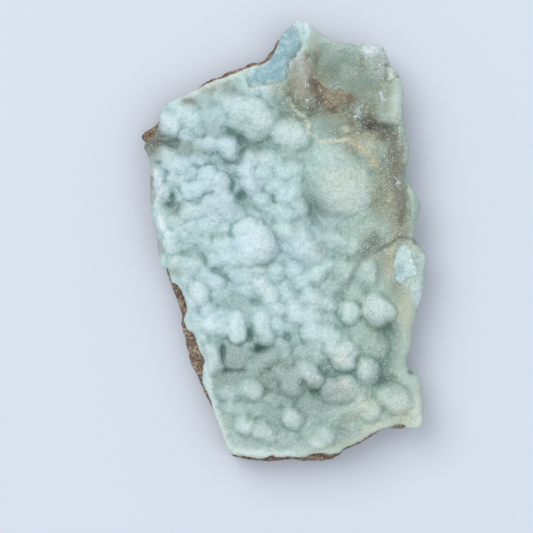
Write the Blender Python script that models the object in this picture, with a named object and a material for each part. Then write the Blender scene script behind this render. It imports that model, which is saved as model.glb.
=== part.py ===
"""Hemimorphite specimen: a botryoidal crust on a slab of brown rock, lying on its back.

+X is the right of the crust as one looks at it, +Y its top, and +Z points out of the crust.
The origin is in the middle of the slab's footprint, at the level that it rests on.
Every size below is in millimetres, and MM turns it into metres when a mesh is written.
"""
import bmesh
import bpy
import numpy as np
from mathutils import Matrix, Vector, noise

MM = 0.001

# Driving sizes
ROCK_THICKNESS = 12.0        # from the resting face up to the seam
CRUST_THICKNESS = 7.0        # from the seam up to the ground between the lumps
SEAM_GAP = 0.3               # between rock and crust
LUMP_FILLET = 1.2            # softness of the creases between lumps
MOUND_FILLET = 2.6           # softness where the wide mounds meet the ground
EDGE_ROUND = 2.2             # radius of the crust's rounded edge
RIM_INSET = 2.5              # how far the rock stays back under the crust's right side
LEFT_INSET = 1.4             # and under its left side
BACK_RELIEF = 3.2            # depth of the hollows in the rock's back
BACK_HOLLOW_SIZE = 19.0      # width of those hollows
BACK_HOLLOW_LEVEL = 0.45     # their average depth, as a share of the relief
RESTING_PATCH_CURVE = 4      # how sharply a resting patch ends
BACK_BEVEL_REACH = 15.0      # how far in from the edge the back starts to rise
BACK_BEVEL_RISE = 3.6        # how far it rises there on average
BACK_BEVEL_SWING = 1.4       # how much that rise changes along the edge, as a share of it
BACK_BEVEL_CURVE = 1.5       # how late the rise sets in
WALL_ROUGHNESS = 1.6         # how far the broken walls stand back in their hollows
WALL_LUMP = 8.0              # width of those hollows
WALL_LUMP_STRETCH = 3.0      # how much taller than wide they are
CRUST_UNDERCUT = 0.7         # how far the crust's wall draws in at its foot
UNDERCUT_CURVE = 4           # how late the wall starts to draw in

# Mesh sizes
CRUST_CELL = 1.3
CRUST_KEPT = 0.33            # share of the crust's triangles that its Decimate modifier keeps
ROCK_CELL = 4.4
OUTLINE_STEP = 0.5           # spacing of the points on a smoothed outline
CURVE_STEPS = 24             # points between two given points before that spacing is made even
NORMAL_REACH = 4             # outline points to either side that even out a normal
CLEAR_OF_EDGE = 0.6          # cells that a sheet's square faces stay inside the outline
SEAT_ROUNDS = 12             # times that the seats along the outline are evened
BAND_ROUNDS = 3              # times that the sheet's border is evened
CHUNK = 2000                 # places handled at once
STEEP = 5.0                  # fall per millimetre of a dome's level outside its ball
NOISE_LEVEL = 3.7            # where the flat noise is taken through the solid one

# Colours
CRUST_COLOUR = (0.50, 0.68, 0.64)
ROCK_COLOUR = (0.20, 0.13, 0.09)

# The outline, clockwise from the left corner, in stretches. Where bare rock shows past the
# crust, the stretch is given twice, once for the rock and once for the crust.
ROCK_TOP_LEFT = (
    (-57.4, 41.8), (-55.0, 44.4), (-52.2, 46.0), (-49.8, 48.6), (-49.2, 52.2), (-47.8, 54.4),
    (-43.8, 56.3), (-39.4, 58.4), (-35.8, 60.4), (-32.2, 63.4), (-29.0, 65.2), (-25.4, 66.2),
    (-22.6, 68.0), (-16.6, 69.8), (-13.4, 71.6), (-9.4, 72.0), (-7.2, 73.4), (-5.8, 75.4),
    (-4.2, 77.2), (-2.2, 80.8),
)
CRUST_TOP_LEFT = (
    (-55.8, 37.8), (-53.4, 40.2), (-51.0, 43.4), (-49.8, 46.6), (-49.4, 49.8), (-48.8, 52.6),
    (-47.4, 54.2), (-43.8, 56.0), (-39.4, 58.0), (-35.8, 59.8), (-32.2, 61.8), (-28.6, 63.6),
    (-24.6, 64.8), (-20.6, 66.4), (-16.2, 68.0), (-12.2, 69.6), (-8.6, 70.4), (-5.8, 72.2),
    (-3.8, 75.0), (-2.2, 78.6), (-1.0, 81.8),
)
TIP_AND_SHOULDER = (
    (1.4, 84.4), (4.2, 87.0), (5.6, 88.4), (7.0, 88.2), (10.2, 86.4), (12.6, 84.6), (14.6, 82.6),
    (19.0, 79.8), (23.0, 78.6), (26.6, 78.6), (29.8, 77.6), (31.8, 78.4), (37.0, 77.8),
    (39.4, 77.0), (41.8, 73.0), (43.0, 69.4), (45.8, 66.2),
)
RIGHT_SIDE = (
    (47.2, 62.6), (47.8, 58.2), (47.4, 53.8), (48.0, 48.2), (49.0, 42.2), (50.1, 36.2),
    (49.4, 30.6), (48.6, 26.6), (49.8, 23.0), (52.2, 19.8), (54.2, 15.4), (54.6, 13.0),
    (52.8, 6.2), (52.4, 1.0), (54.2, -2.2), (56.8, -5.4), (57.4, -8.2), (56.5, -14.2),
    (56.2, -17.8), (54.8, -23.4), (53.0, -29.0), (51.4, -35.4), (50.8, -41.8), (49.2, -47.4),
)
LOWER_RIGHT_CORNER = (
    (49.8, -51.0), (52.6, -53.4), (54.2, -54.4), (55.4, -59.8), (55.8, -67.8), (55.2, -73.8),
    (52.4, -75.2),
)
ROCK_BOTTOM = (
    (48.6, -75.6), (45.2, -75.8), (41.6, -75.6), (39.4, -76.4), (35.2, -79.0), (30.6, -82.0),
    (24.8, -84.4), (22.4, -86.6), (18.8, -88.3), (15.8, -88.8), (8.2, -88.8), (1.8, -88.4),
    (-4.6, -88.9), (-11.4, -88.7), (-15.8, -88.0), (-19.8, -87.1), (-22.4, -84.8),
)
CRUST_BOTTOM = (
    (49.6, -75.0), (48.0, -73.9), (45.6, -73.6), (43.4, -74.3), (41.4, -75.0), (39.8, -75.2),
    (35.0, -77.4), (30.6, -80.2), (24.6, -83.0), (22.0, -84.9), (18.2, -85.6), (14.6, -85.0),
    (11.4, -85.3), (8.2, -86.6), (2.6, -86.4), (-2.6, -86.6), (-4.6, -85.9), (-7.4, -86.9),
    (-10.2, -87.0), (-15.0, -86.2), (-19.4, -85.8), (-22.2, -84.2),
)
LOWER_LEFT_FOOT = ((-23.4, -81.0), (-24.6, -77.0), (-27.0, -71.4))
ROCK_LOWER_LEFT = (
    (-30.2, -64.6), (-32.6, -59.8), (-34.6, -54.6), (-37.2, -50.2), (-38.6, -44.6),
    (-39.8, -39.0), (-41.2, -33.8), (-41.0, -30.2), (-42.6, -25.0), (-44.6, -19.8),
    (-47.0, -13.4),
)
CRUST_LOWER_LEFT = (
    (-29.8, -62.6), (-31.4, -59.0), (-32.6, -55.8), (-32.2, -51.0), (-31.8, -47.8),
    (-33.8, -43.4), (-35.8, -37.4), (-38.6, -35.4), (-39.8, -31.8), (-38.6, -27.4),
    (-39.8, -22.6), (-42.2, -18.2), (-44.6, -16.6), (-46.2, -11.8),
)
LEFT_SIDE = (
    (-48.6, -10.6), (-50.2, -3.8), (-51.2, 3.4), (-52.6, 10.2), (-53.4, 16.2), (-53.4, 24.2),
    (-53.6, 31.0), (-54.6, 34.2), (-55.8, 37.8),
)

# Broad swells and hollows of the crust's ground: x, y, reach in x, reach in y, height
SWELLS = (
    (-4.0, 0.0, 34.0, 56.0, 2.0),
    (-56.0, 8.0, 9.0, 34.0, -1.6),
    (-44.0, 38.6, 3.2, 2.8, -0.9),
    (-17.0, 40.6, 3.6, 4.4, -1.7),
    (0.0, 53.6, 3.4, 7.4, -1.3),
    (13.0, 12.0, 3.8, 6.4, -2.4),
    (-10.6, -11.4, 2.8, 1.6, 1.2),
    (17.0, -30.4, 3.0, 2.0, 0.8),
    (17.0, -4.2, 3.5, 3.5, -1.8),
    (-11.0, -24.6, 3.0, 1.6, -1.8),
    (-23.6, -48.4, 1.6, 4.6, -2.0),
    (-9.0, -43.2, 4.0, 1.6, -2.2),
    (14.4, -58.6, 2.2, 5.0, -2.6),
    (41.2, -45.0, 3.6, 12.0, -2.6),
    (54.0, -36.0, 8.0, 16.0, -1.4),
    (27.0, 60.0, 20.0, 17.0, 1.4),
    (22.6, 70.2, 6.4, 5.2, -2.6),
    (31.0, 61.4, 6.0, 5.0, -1.2),
    (19.6, 56.0, 8.0, 5.0, 1.4),
    (35.6, 72.0, 4.0, 4.0, 0.8),
    (34.8, 46.4, 3.4, 2.2, -1.8),
    (42.0, 45.6, 4.6, 1.6, -1.2),
)
# Pits and shadowed gaps between the lumps: the same five numbers
PITS = (
    (-44.2, 16.8, 1.1, 2.4, -2.4),
    (-45.6, 14.4, 2.2, 1.1, -2.2),
    (-16.8, 17.6, 1.6, 2.2, -3.6),
    (-15.2, 14.2, 1.8, 1.6, -1.4),
    (-17.0, 37.0, 1.8, 4.4, -1.7),
    (-20.4, 43.0, 2.6, 1.8, -1.4),
    (-46.2, 38.8, 4.4, 1.1, -0.8),
    (-21.6, 31.0, 3.6, 1.2, -1.2),
    (-20.6, 21.8, 1.4, 3.2, -1.6),
    (-10.2, -43.6, 3.4, 1.3, -3.0),
    (-13.4, -37.6, 1.3, 3.2, -2.6),
    (-20.0, -51.8, 4.0, 1.1, -1.8),
    (-24.2, -44.6, 1.0, 4.0, -1.8),
    (12.6, -60.2, 2.2, 2.0, -2.4),
    (42.0, -35.4, 2.6, 3.4, -2.2),
    (40.0, -56.0, 4.6, 2.2, -1.8),
    (1.6, -38.6, 2.0, 1.6, -1.6),
    (-6.8, -57.6, 1.6, 2.2, -1.2),
    (17.0, -53.0, 2.6, 1.4, -1.2),
    (34.8, 45.4, 2.0, 1.4, -1.2),
    (-38.0, -5.0, 3.6, 1.6, -0.7),
)
# Wide mounds that carry the lumps: the two ends of the spine, radius, rise
MOUNDS = (
    (-10.0, 28.0, -2.0, 27.0, 9.6, 2.0),
    (-16.0, -1.0, -8.0, 1.0, 9.0, 2.0),
    (20.0, 30.0, 25.4, 20.0, 11.8, 4.2),
    (4.6, 0.6, 11.0, -5.0, 7.6, 2.0),
    (4.0, -53.0, 10.6, -52.0, 8.6, 2.4),
    (19.0, -59.4, 25.0, -59.4, 7.6, 2.0),
    (13.0, -37.0, 23.0, -44.0, 8.0, 2.4),
    (-31.0, 20.6, -27.0, 12.0, 10.4, 2.2),
    (-16.0, 52.0, -9.6, 47.6, 8.4, 2.8),
    (33.8, 37.4, 36.0, 34.4, 6.8, 1.6),
    (36.4, 72.6, 37.8, 68.4, 5.8, 1.6),
    (6.6, 72.0, 8.8, 54.0, 5.0, 2.4),
    (43.4, 63.0, 42.6, 51.0, 4.8, 2.0),
    (51.8, 18.4, 51.2, 6.0, 2.8, 1.2),
    (48.6, 45.0, 48.8, 32.6, 2.0, 0.8),
    (46.0, -20.0, 45.0, -30.0, 6.0, 1.2),
)
# Lumps of the upper left: the same six numbers
UPPER_LEFT_LUMPS = (
    (-45.8, 47.2, -45.0, 45.4, 4.6, 3.0), (-38.6, 50.6, -35.4, 47.4, 4.8, 2.4),
    (-39.2, 41.8, -38.2, 41.0, 3.2, 1.8), (-33.8, 37.4, -33.4, 37.6, 3.2, 2.2),
    (-29.2, 38.2, -28.6, 38.2, 3.3, 2.5), (-22.6, 37.6, -20.8, 35.4, 5.0, 3.4),
    (-16.8, 52.6, -15.4, 51.6, 4.4, 2.2), (-12.0, 51.0, -9.0, 47.8, 5.6, 3.0),
    (-17.6, 46.6, -16.4, 46.0, 3.8, 1.8), (-11.6, 43.8, -9.6, 43.6, 4.0, 1.8),
    (-5.4, 47.6, -5.0, 45.0, 3.8, 1.4), (0.6, 42.8, 4.6, 41.2, 6.6, 3.8),
    (-48.4, 34.8, -47.0, 34.0, 3.8, 2.4), (-44.6, 31.6, -42.4, 29.6, 4.6, 2.8),
    (-39.4, 29.8, -38.6, 27.6, 4.0, 2.0), (-12.6, 60.2, -8.4, 59.4, 4.0, 1.0),
    (-24.4, 57.4, -22.6, 56.8, 4.2, 1.6), (-20.8, 54.6, -20.0, 54.0, 3.8, 1.4),
    (-28.6, 45.2, -27.0, 42.8, 3.2, 1.3), (-39.0, 37.0, -39.0, 35.8, 2.8, 1.2),
    (-30.2, 49.6, -30.0, 48.4, 3.2, 1.2), (-33.8, 32.8, -33.4, 32.4, 3.0, 1.4),
    (-42.4, 53.6, -41.0, 53.4, 3.2, 1.0), (-51.2, 35.6, -50.4, 34.6, 3.0, 1.6),
    (-33.8, 44.0, -33.2, 43.6, 2.8, 1.0), (-24.2, 49.6, -23.6, 48.6, 3.0, 1.0),
)
# Lumps of the middle left
LEFT_LUMPS = (
    (-30.8, 25.6, -29.6, 25.0, 4.2, 3.2), (-25.6, 24.0, -24.2, 22.4, 4.0, 3.0),
    (-29.8, 21.6, -29.4, 21.4, 3.0, 2.0), (-37.8, 19.4, -36.4, 19.8, 3.4, 2.2),
    (-34.4, 20.6, -33.4, 20.6, 3.2, 2.2), (-24.4, 18.4, -23.0, 16.6, 4.0, 2.4),
    (-28.6, 15.0, -27.4, 13.6, 3.8, 2.0), (-25.0, 12.6, -24.0, 12.0, 3.2, 1.6),
    (-27.6, 9.2, -26.6, 8.8, 3.2, 1.6), (-38.4, 11.4, -35.2, 11.0, 3.8, 2.4),
    (-32.4, 12.2, -31.6, 12.2, 3.0, 1.6), (-21.8, 10.8, -21.6, 9.8, 3.6, 1.8),
    (-18.2, 10.6, -17.8, 10.2, 2.8, 1.2), (-43.6, 24.6, -42.4, 24.0, 3.2, 1.6),
    (-40.2, 23.6, -39.6, 23.0, 3.0, 1.4), (-47.4, 18.8, -46.8, 20.4, 2.6, 1.4),
    (-42.4, 7.4, -40.6, 5.0, 4.2, 2.4), (-39.4, 2.0, -38.6, 2.0, 3.2, 1.6),
    (-35.6, 5.8, -34.4, 5.2, 3.4, 2.0), (-31.2, 6.0, -30.2, 5.6, 3.8, 2.0),
    (-49.0, 10.4, -48.6, 9.6, 2.6, 1.2), (-48.8, 7.4, -47.4, 4.4, 2.2, 1.6),
    (-44.4, 0.4, -44.2, -2.6, 3.4, 1.8), (-34.4, 1.0, -33.6, 0.6, 2.8, 1.4),
    (-30.4, -1.8, -29.6, -2.4, 3.8, 2.0), (-24.0, -2.0, -22.8, -2.0, 4.2, 2.2),
    (-24.0, 5.8, -23.6, 5.4, 2.8, 1.2), (-51.0, 25.4, -50.6, 23.0, 2.4, 1.0),
)
# Lumps of the middle
MIDDLE_LUMPS = (
    (-17.0, 3.8, -14.2, 5.4, 3.8, 2.8), (-10.2, 1.2, -8.8, -2.2, 6.2, 3.6),
    (-14.8, -1.4, -13.6, -4.4, 4.8, 2.6), (-21.4, -6.0, -19.6, -7.2, 4.2, 2.0),
    (-14.8, 28.6, -14.4, 26.4, 3.6, 2.0), (-13.2, 22.8, -12.2, 21.8, 4.2, 2.4),
    (-12.8, 32.6, -11.6, 32.2, 3.4, 1.8), (-8.0, 32.2, -6.4, 31.6, 4.2, 2.2),
    (-7.6, 26.4, -6.8, 26.2, 3.2, 1.4), (-3.4, 30.8, -2.4, 30.4, 3.4, 1.6),
    (-1.0, 27.0, 0.4, 27.0, 3.4, 1.8), (3.4, 28.6, 5.0, 27.4, 3.4, 1.4),
    (0.6, 18.8, 2.8, 18.0, 4.8, 2.8), (-9.0, 15.8, -7.6, 15.6, 3.6, 2.0),
    (-5.8, 13.0, -4.8, 12.4, 2.8, 1.4), (-0.6, 11.4, 1.2, 10.4, 4.4, 2.6),
    (0.6, 4.2, 2.6, 3.0, 4.0, 2.0), (-4.0, 22.4, -3.2, 22.2, 3.4, 1.4),
    (3.8, 23.6, 4.2, 23.0, 2.8, 1.0), (6.6, 2.6, 7.4, 1.6, 3.6, 1.4),
    (6.4, -2.4, 7.4, -3.4, 4.0, 1.8), (11.2, -3.6, 12.0, -5.0, 4.2, 2.0),
    (20.4, 0.4, 21.6, -0.4, 4.0, 1.8), (25.6, -1.4, 27.0, -1.8, 4.0, 1.6),
    (31.8, -10.8, 34.2, -13.4, 5.4, 2.4), (23.0, -11.4, 25.0, -12.4, 4.2, 1.8),
    (4.2, -11.2, 5.0, -12.4, 3.8, 2.2), (7.6, -15.6, 8.4, -16.2, 4.0, 2.2),
    (13.2, -15.4, 14.0, -12.4, 3.2, 2.0), (10.8, -22.6, 12.0, -23.4, 4.8, 2.8),
    (17.2, -25.0, 18.0, -25.8, 3.8, 2.6), (4.6, -28.0, 5.8, -29.4, 4.6, 2.8),
    (9.8, -31.0, 10.8, -31.6, 3.8, 2.2), (25.8, -28.0, 26.4, -29.0, 4.8, 3.6),
    (36.4, -27.2, 38.6, -28.4, 6.6, 4.8), (28.0, -20.8, 29.6, -21.8, 3.8, 1.2),
    (-8.8, -17.4, -7.4, -19.0, 3.6, 2.4), (-5.4, -21.0, -4.6, -23.6, 3.4, 2.0),
    (-16.2, -14.4, -15.4, -13.8, 3.8, 1.8), (-20.4, -11.4, -19.8, -12.0, 3.4, 1.6),
    (-2.8, -12.0, -2.4, -13.6, 3.2, 1.6), (-2.4, -27.0, -1.6, -27.4, 3.0, 1.6),
    (-15.6, -19.6, -14.6, -19.6, 2.8, 1.2), (-15.8, -7.8, -14.4, -8.0, 2.8, 1.4),
    (-27.6, -7.4, -25.4, -7.6, 3.2, 1.8), (5.8, 14.6, 6.6, 12.6, 3.4, 1.6),
    (17.8, -19.4, 19.0, -19.0, 3.4, 1.4), (0.4, -20.6, 1.4, -22.0, 2.8, 1.2),
    (16.6, -8.6, 17.4, -9.4, 3.0, 1.4),
)
# Lumps of the lower left
LOWER_LEFT_LUMPS = (
    (-42.6, -9.6, -40.8, -10.2, 3.6, 1.8), (-36.0, -9.8, -34.6, -10.6, 3.6, 1.8),
    (-31.0, -13.4, -30.0, -14.2, 3.4, 1.8), (-27.4, -16.4, -26.2, -17.0, 3.6, 2.2),
    (-34.0, -20.0, -32.6, -22.4, 4.2, 2.8), (-37.0, -25.6, -36.4, -26.6, 3.0, 1.6),
    (-25.4, -21.4, -23.6, -22.2, 3.6, 1.2), (-29.8, -28.2, -29.2, -29.0, 3.8, 2.2),
    (-29.2, -33.4, -28.4, -34.4, 4.2, 3.0), (-24.4, -29.6, -23.2, -30.8, 3.2, 1.8),
    (-18.4, -30.8, -18.4, -33.0, 3.6, 2.6), (-18.6, -36.6, -18.6, -38.2, 3.8, 3.2),
    (-34.0, -32.2, -33.8, -34.0, 3.2, 1.6), (-29.0, -44.6, -28.4, -49.4, 4.6, 3.0),
    (-19.6, -46.8, -18.0, -47.6, 4.7, 2.6), (-9.0, -31.4, -8.2, -33.0, 4.0, 2.4),
    (-8.4, -36.0, -6.8, -38.6, 3.8, 2.4), (-11.6, -51.0, -9.6, -49.8, 3.6, 1.8),
    (-6.4, -47.0, -4.8, -46.2, 3.8, 2.2), (-14.0, -59.0, -11.4, -59.8, 4.6, 2.8),
    (-22.2, -60.2, -21.0, -61.4, 4.0, 2.2), (-21.6, -66.0, -21.0, -66.8, 3.2, 1.6),
    (-17.2, -67.8, -16.6, -68.2, 3.0, 1.4), (-11.8, -67.4, -10.4, -68.0, 3.2, 1.4),
    (-16.0, -73.4, -14.4, -74.4, 3.8, 2.4), (-9.0, -76.0, -5.8, -77.2, 4.2, 2.4),
    (3.2, -70.8, 3.8, -71.4, 4.8, 3.4), (-6.0, -56.0, -5.4, -55.0, 3.0, 1.2),
    (-24.2, -34.4, -23.8, -36.2, 3.0, 2.2), (-13.9, -43.2, -13.5, -44.4, 2.5, 1.8),
    (-4.6, -63.8, -4.0, -64.2, 3.0, 1.2), (1.0, -63.2, 1.6, -63.6, 3.0, 1.2),
    (-38.6, -15.2, -38.0, -15.8, 2.8, 1.2), (0.0, -78.6, 1.0, -79.0, 3.4, 1.0),
    (-2.2, -34.0, -1.4, -34.8, 2.8, 1.2), (-33.0, -39.0, -32.6, -39.8, 2.8, 1.4),
)
# Lumps of the lower right
LOWER_RIGHT_LUMPS = (
    (11.4, -36.4, 12.6, -37.0, 4.4, 2.6), (17.2, -38.0, 18.6, -38.8, 4.4, 2.4),
    (-0.8, -42.6, 0.2, -43.6, 3.4, 1.8), (1.2, -46.4, 1.8, -47.0, 3.2, 1.6),
    (8.0, -45.2, 9.2, -46.2, 4.0, 1.8), (19.6, -43.0, 21.0, -44.0, 4.4, 2.6),
    (12.2, -41.0, 13.4, -41.6, 3.2, 1.6),
    (24.4, -44.8, 24.0, -47.0, 4.8, 2.8), (8.6, -50.6, 10.4, -51.2, 4.0, 2.8),
    (12.0, -54.0, 12.8, -55.2, 3.8, 2.8), (-0.6, -53.0, 0.2, -54.0, 3.8, 1.8),
    (4.6, -53.6, 5.2, -54.2, 3.4, 1.6), (2.6, -57.6, 3.6, -58.4, 4.2, 2.4),
    (18.8, -59.6, 21.0, -59.8, 4.8, 2.6), (24.0, -57.8, 25.4, -59.6, 4.8, 2.8),
    (29.8, -61.6, 30.4, -62.4, 3.2, 1.2), (32.8, -51.0, 33.6, -52.4, 5.2, 3.8),
    (32.6, -66.0, 34.6, -67.6, 4.6, 2.8), (37.0, -41.2, 38.0, -42.4, 4.0, 1.6),
    (42.2, -61.6, 45.8, -64.2, 6.0, 3.6),
    (16.8, -77.2, 17.8, -78.0, 4.0, 2.0), (12.8, -81.0, 13.6, -82.6, 3.2, 1.4),
    (12.0, -68.6, 13.0, -69.0, 3.4, 0.7), (19.4, -69.0, 20.6, -69.6, 4.0, 1.0),
    (26.0, -72.6, 27.0, -73.4, 3.2, 0.7), (9.6, -63.4, 10.2, -63.8, 3.0, 0.6),
    (30.0, -35.0, 30.6, -36.0, 3.4, 1.0), (13.4, -46.6, 14.4, -47.4, 3.0, 1.4),
    (26.0, -66.8, 27.2, -67.2, 3.6, 0.8), (9.8, -76.2, 10.4, -76.8, 3.2, 1.0),
)
# Narrow grooves (negative) and ridges (positive): half-width, height, points along it
GROOVES_AND_RIDGES = (
    (1.0, -0.3, ((-12.0, 9.4), (-8.0, 6.8), (-5.0, 3.6), (-2.2, -0.2), (-0.8, -4.6))),
    (1.0, -0.4, ((-0.8, -4.6), (2.8, -7.4), (7.0, -9.6), (11.0, -11.0))),
    (1.0, -0.3, ((-0.8, -4.6), (-4.4, -8.2), (-7.4, -10.6), (-11.4, -11.8))),
    (1.2, -0.3, ((-32.6, -6.4), (-29.4, -9.4), (-25.4, -13.0), (-21.4, -15.6))),
    (1.2, -0.6, ((13.4, -1.0), (15.6, -4.4), (19.0, -7.0))),
    (1.2, -0.5, ((52.0, -0.4), (49.6, 0.8), (46.0, 0.8), (43.4, -0.8), (38.6, -4.0))),
    (1.6, -0.3, ((38.6, -4.0), (32.6, -6.6), (28.0, -13.4), (23.4, -22.6))),
    (1.0, -0.5, ((47.0, 48.2), (47.2, 30.2), (48.4, 24.2), (49.4, 14.2), (50.2, 2.2))),
    (0.8, 0.5, ((2.0, 56.2), (4.8, 51.4), (8.0, 49.0), (10.0, 46.4), (9.8, 43.4), (13.6, 40.4),
                (25.4, 40.0))),
    (1.8, 0.9, ((25.4, 40.0), (29.0, 37.8), (34.6, 33.4), (38.0, 28.6))),
    (0.7, 0.8, ((13.4, 64.4), (15.6, 62.0), (18.6, 60.2))),
    (0.8, 0.9, ((1.6, 65.0), (1.6, 68.4), (3.0, 71.4), (4.6, 73.4), (6.4, 75.4))),
    (0.6, 0.5, ((17.0, 57.6), (19.0, 55.6), (20.6, 53.8))),
)
# Places where the crust broke away: outline, then the floor's height in its middle and its
# fall per millimetre in x and in y
BREAKS = (
    (((5.4, 91.0), (-7.0, 81.0), (-10.0, 71.0), (-15.0, 67.0), (-13.4, 61.4), (-6.6, 62.6),
      (0.8, 64.2), (0.8, 69.0), (2.0, 72.4), (5.0, 75.6), (7.2, 80.0), (7.6, 88.0)),
     17.8, -0.08, -0.02),
    (((46.2, -2.0), (48.6, -1.4), (50.4, -3.4), (51.0, -6.2), (52.2, -9.4), (52.9, -13.4),
      (50.6, -14.4), (48.8, -14.8), (48.0, -17.2), (46.4, -17.4), (44.8, -14.8), (44.1, -9.4),
      (44.8, -5.0)),
     18.3, -0.14, 0.03),
    (((41.0, 69.8), (42.6, 67.8), (44.8, 66.2), (46.2, 65.6), (44.2, 64.8), (42.8, 63.4),
      (41.2, 64.4), (41.4, 67.0)),
     19.4, -0.12, 0.05),
    (((52.4, -21.2), (56.0, -20.6), (55.6, -25.6), (53.2, -24.4)),
     17.2, -0.2, 0.0),
)
BREAK_WALL_SLOPE = 2.0       # rise per millimetre of a break's sides
BREAK_FILLET = 0.5

# The four broad patches on the back that the slab lies on: x, y, reach
RESTING_PATCHES = ((-30.0, 20.0, 13.0), (28.0, 34.0, 13.0), (26.0, -52.0, 13.0), (-8.0, -58.0, 13.0))

# Rings of the crust's wall, from the top down, and of the rock's wall, from the back up, as
# shares of the wall's height
CRUST_WALL = (0.38, 0.72, 1.0)
ROCK_WALL = (0.22, 0.62, 1.0)


def smoothed(points):
    """A closed Catmull-Rom curve through the points, sampled every OUTLINE_STEP."""
    here = np.array(points)[:, None, :]
    before = np.roll(here, 1, axis=0)
    after = np.roll(here, -1, axis=0)
    beyond = np.roll(here, -2, axis=0)
    t = np.linspace(0, 1, CURVE_STEPS, endpoint=False)[None, :, None]
    curve = (here + 0.5 * (after - before) * t
             + (before - 2.5 * here + 2 * after - 0.5 * beyond) * t ** 2
             + (1.5 * (here - after) + 0.5 * (beyond - before)) * t ** 3).reshape(-1, 2)
    closed = np.vstack((curve, curve[:1]))
    travelled = np.concatenate(([0], np.cumsum(np.linalg.norm(np.diff(closed, axis=0), axis=1))))
    count = round(travelled[-1] / OUTLINE_STEP)
    wanted = np.linspace(0, travelled[-1], count, endpoint=False)
    return np.column_stack([np.interp(wanted, travelled, closed[:, axis]) for axis in (0, 1)])


def inset(points, distance):
    """An open clockwise stretch of outline, moved inwards by the distance."""
    line = np.array(points)
    along = np.gradient(line, axis=0)
    along /= np.linalg.norm(along, axis=1)[:, None]
    inward = np.column_stack((along[:, 1], -along[:, 0]))
    return tuple(map(tuple, line + distance * inward))


def outward_normals(outline):
    """Unit normals of a clockwise outline, evened over its neighbouring points."""
    along = np.roll(outline, -NORMAL_REACH, axis=0) - np.roll(outline, NORMAL_REACH, axis=0)
    normal = np.column_stack((-along[:, 1], along[:, 0]))
    return normal / np.linalg.norm(normal, axis=1)[:, None]


def depth_inside(x, y, outline):
    """Distance from each place to a closed outline, positive inside it."""
    start = np.array(outline)
    end = np.roll(start, -1, axis=0)
    along = end - start
    length_squared = (along ** 2).sum(axis=1)
    places = np.column_stack((np.ravel(x), np.ravel(y)))
    depth = np.empty(len(places))
    for low in range(0, len(places), CHUNK):
        offset = places[low:low + CHUNK, None, :] - start
        share = np.clip((offset * along).sum(axis=2) / length_squared, 0, 1)
        distance = np.linalg.norm(offset - share[:, :, None] * along, axis=2).min(axis=1)
        above_start = offset[:, :, 1] >= 0
        above_end = places[low:low + CHUNK, None, 1] >= end[:, 1]
        turn = along[:, 0] * offset[:, :, 1] - along[:, 1] * offset[:, :, 0]
        crossings = (above_start != above_end) & ((turn > 0) == (along[:, 1] > 0))
        inside = crossings.sum(axis=1) % 2 == 1
        depth[low:low + CHUNK] = np.where(inside, distance, -distance)
    return depth.reshape(np.shape(x))


def distance_to_line(x, y, points):
    """Distance from each place to an open line of points."""
    nearest = np.full(np.shape(x), 1e9)
    for (x0, y0), (x1, y1) in zip(points, points[1:]):
        along_x, along_y = x1 - x0, y1 - y0
        share = ((x - x0) * along_x + (y - y0) * along_y) / (along_x ** 2 + along_y ** 2)
        share = np.clip(share, 0, 1)
        nearest = np.minimum(nearest, np.hypot(x - x0 - share * along_x, y - y0 - share * along_y))
    return nearest


def smooth_max(first, second, reach):
    """The higher of two heights, with a fillet where they meet."""
    blend = np.clip(0.5 + 0.5 * (second - first) / reach, 0, 1)
    return first + (second - first) * blend + reach * blend * (1 - blend)


def dome(distance, radius, rise):
    """Height of a spherical cap over the level that it stands on, below zero past its foot."""
    ball = (radius ** 2 + rise ** 2) / (2 * rise)
    past = np.maximum(distance - ball, 0)
    return rise - ball + np.sqrt(np.maximum(ball ** 2 - distance ** 2, 0)) - STEEP * past


def swells(x, y, rows):
    """Sum of round swells and hollows."""
    total = np.zeros(np.shape(x))
    for at_x, at_y, reach_x, reach_y, height in rows:
        total += height * np.exp(-((x - at_x) / reach_x) ** 2 - ((y - at_y) / reach_y) ** 2)
    return total


def ground(x, y):
    """Level of the crust between its lumps, before the mounds."""
    return ROCK_THICKNESS + CRUST_THICKNESS + swells(x, y, SWELLS)


def raised(x, y, level, foot_at, rows, fillet):
    """The level with long or round domes standing on it, each on its own foot."""
    for start_x, start_y, end_x, end_y, radius, rise in rows:
        foot = foot_at((start_x + end_x) / 2, (start_y + end_y) / 2)
        spine = ((start_x, start_y), (end_x, end_y))
        level = smooth_max(level, foot + dome(distance_to_line(x, y, spine), radius, rise), fillet)
    return level


def mounded(x, y):
    """The ground with its wide mounds."""
    return raised(x, y, ground(x, y), ground, MOUNDS, MOUND_FILLET)


def crust_height(x, y, outline):
    """Height of the crust's face above the resting level."""
    lumps = UPPER_LEFT_LUMPS + LEFT_LUMPS + MIDDLE_LUMPS + LOWER_LEFT_LUMPS + LOWER_RIGHT_LUMPS
    level = raised(x, y, mounded(x, y), mounded, lumps, LUMP_FILLET) + swells(x, y, PITS)
    for half_width, height, points in GROOVES_AND_RIDGES:
        level = level + height * np.exp(-(distance_to_line(x, y, points) / half_width) ** 2)
    for polygon, floor, fall_x, fall_y in BREAKS:
        middle_x, middle_y = np.mean(polygon, axis=0)
        outside = np.maximum(-depth_inside(x, y, polygon), 0)
        cut = floor + fall_x * (x - middle_x) + fall_y * (y - middle_y) + BREAK_WALL_SLOPE * outside
        level = -smooth_max(-level, -cut, BREAK_FILLET)
    from_edge = np.clip(depth_inside(x, y, outline), 0, EDGE_ROUND)
    return level - EDGE_ROUND + np.sqrt(EDGE_ROUND ** 2 - (EDGE_ROUND - from_edge) ** 2)


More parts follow.
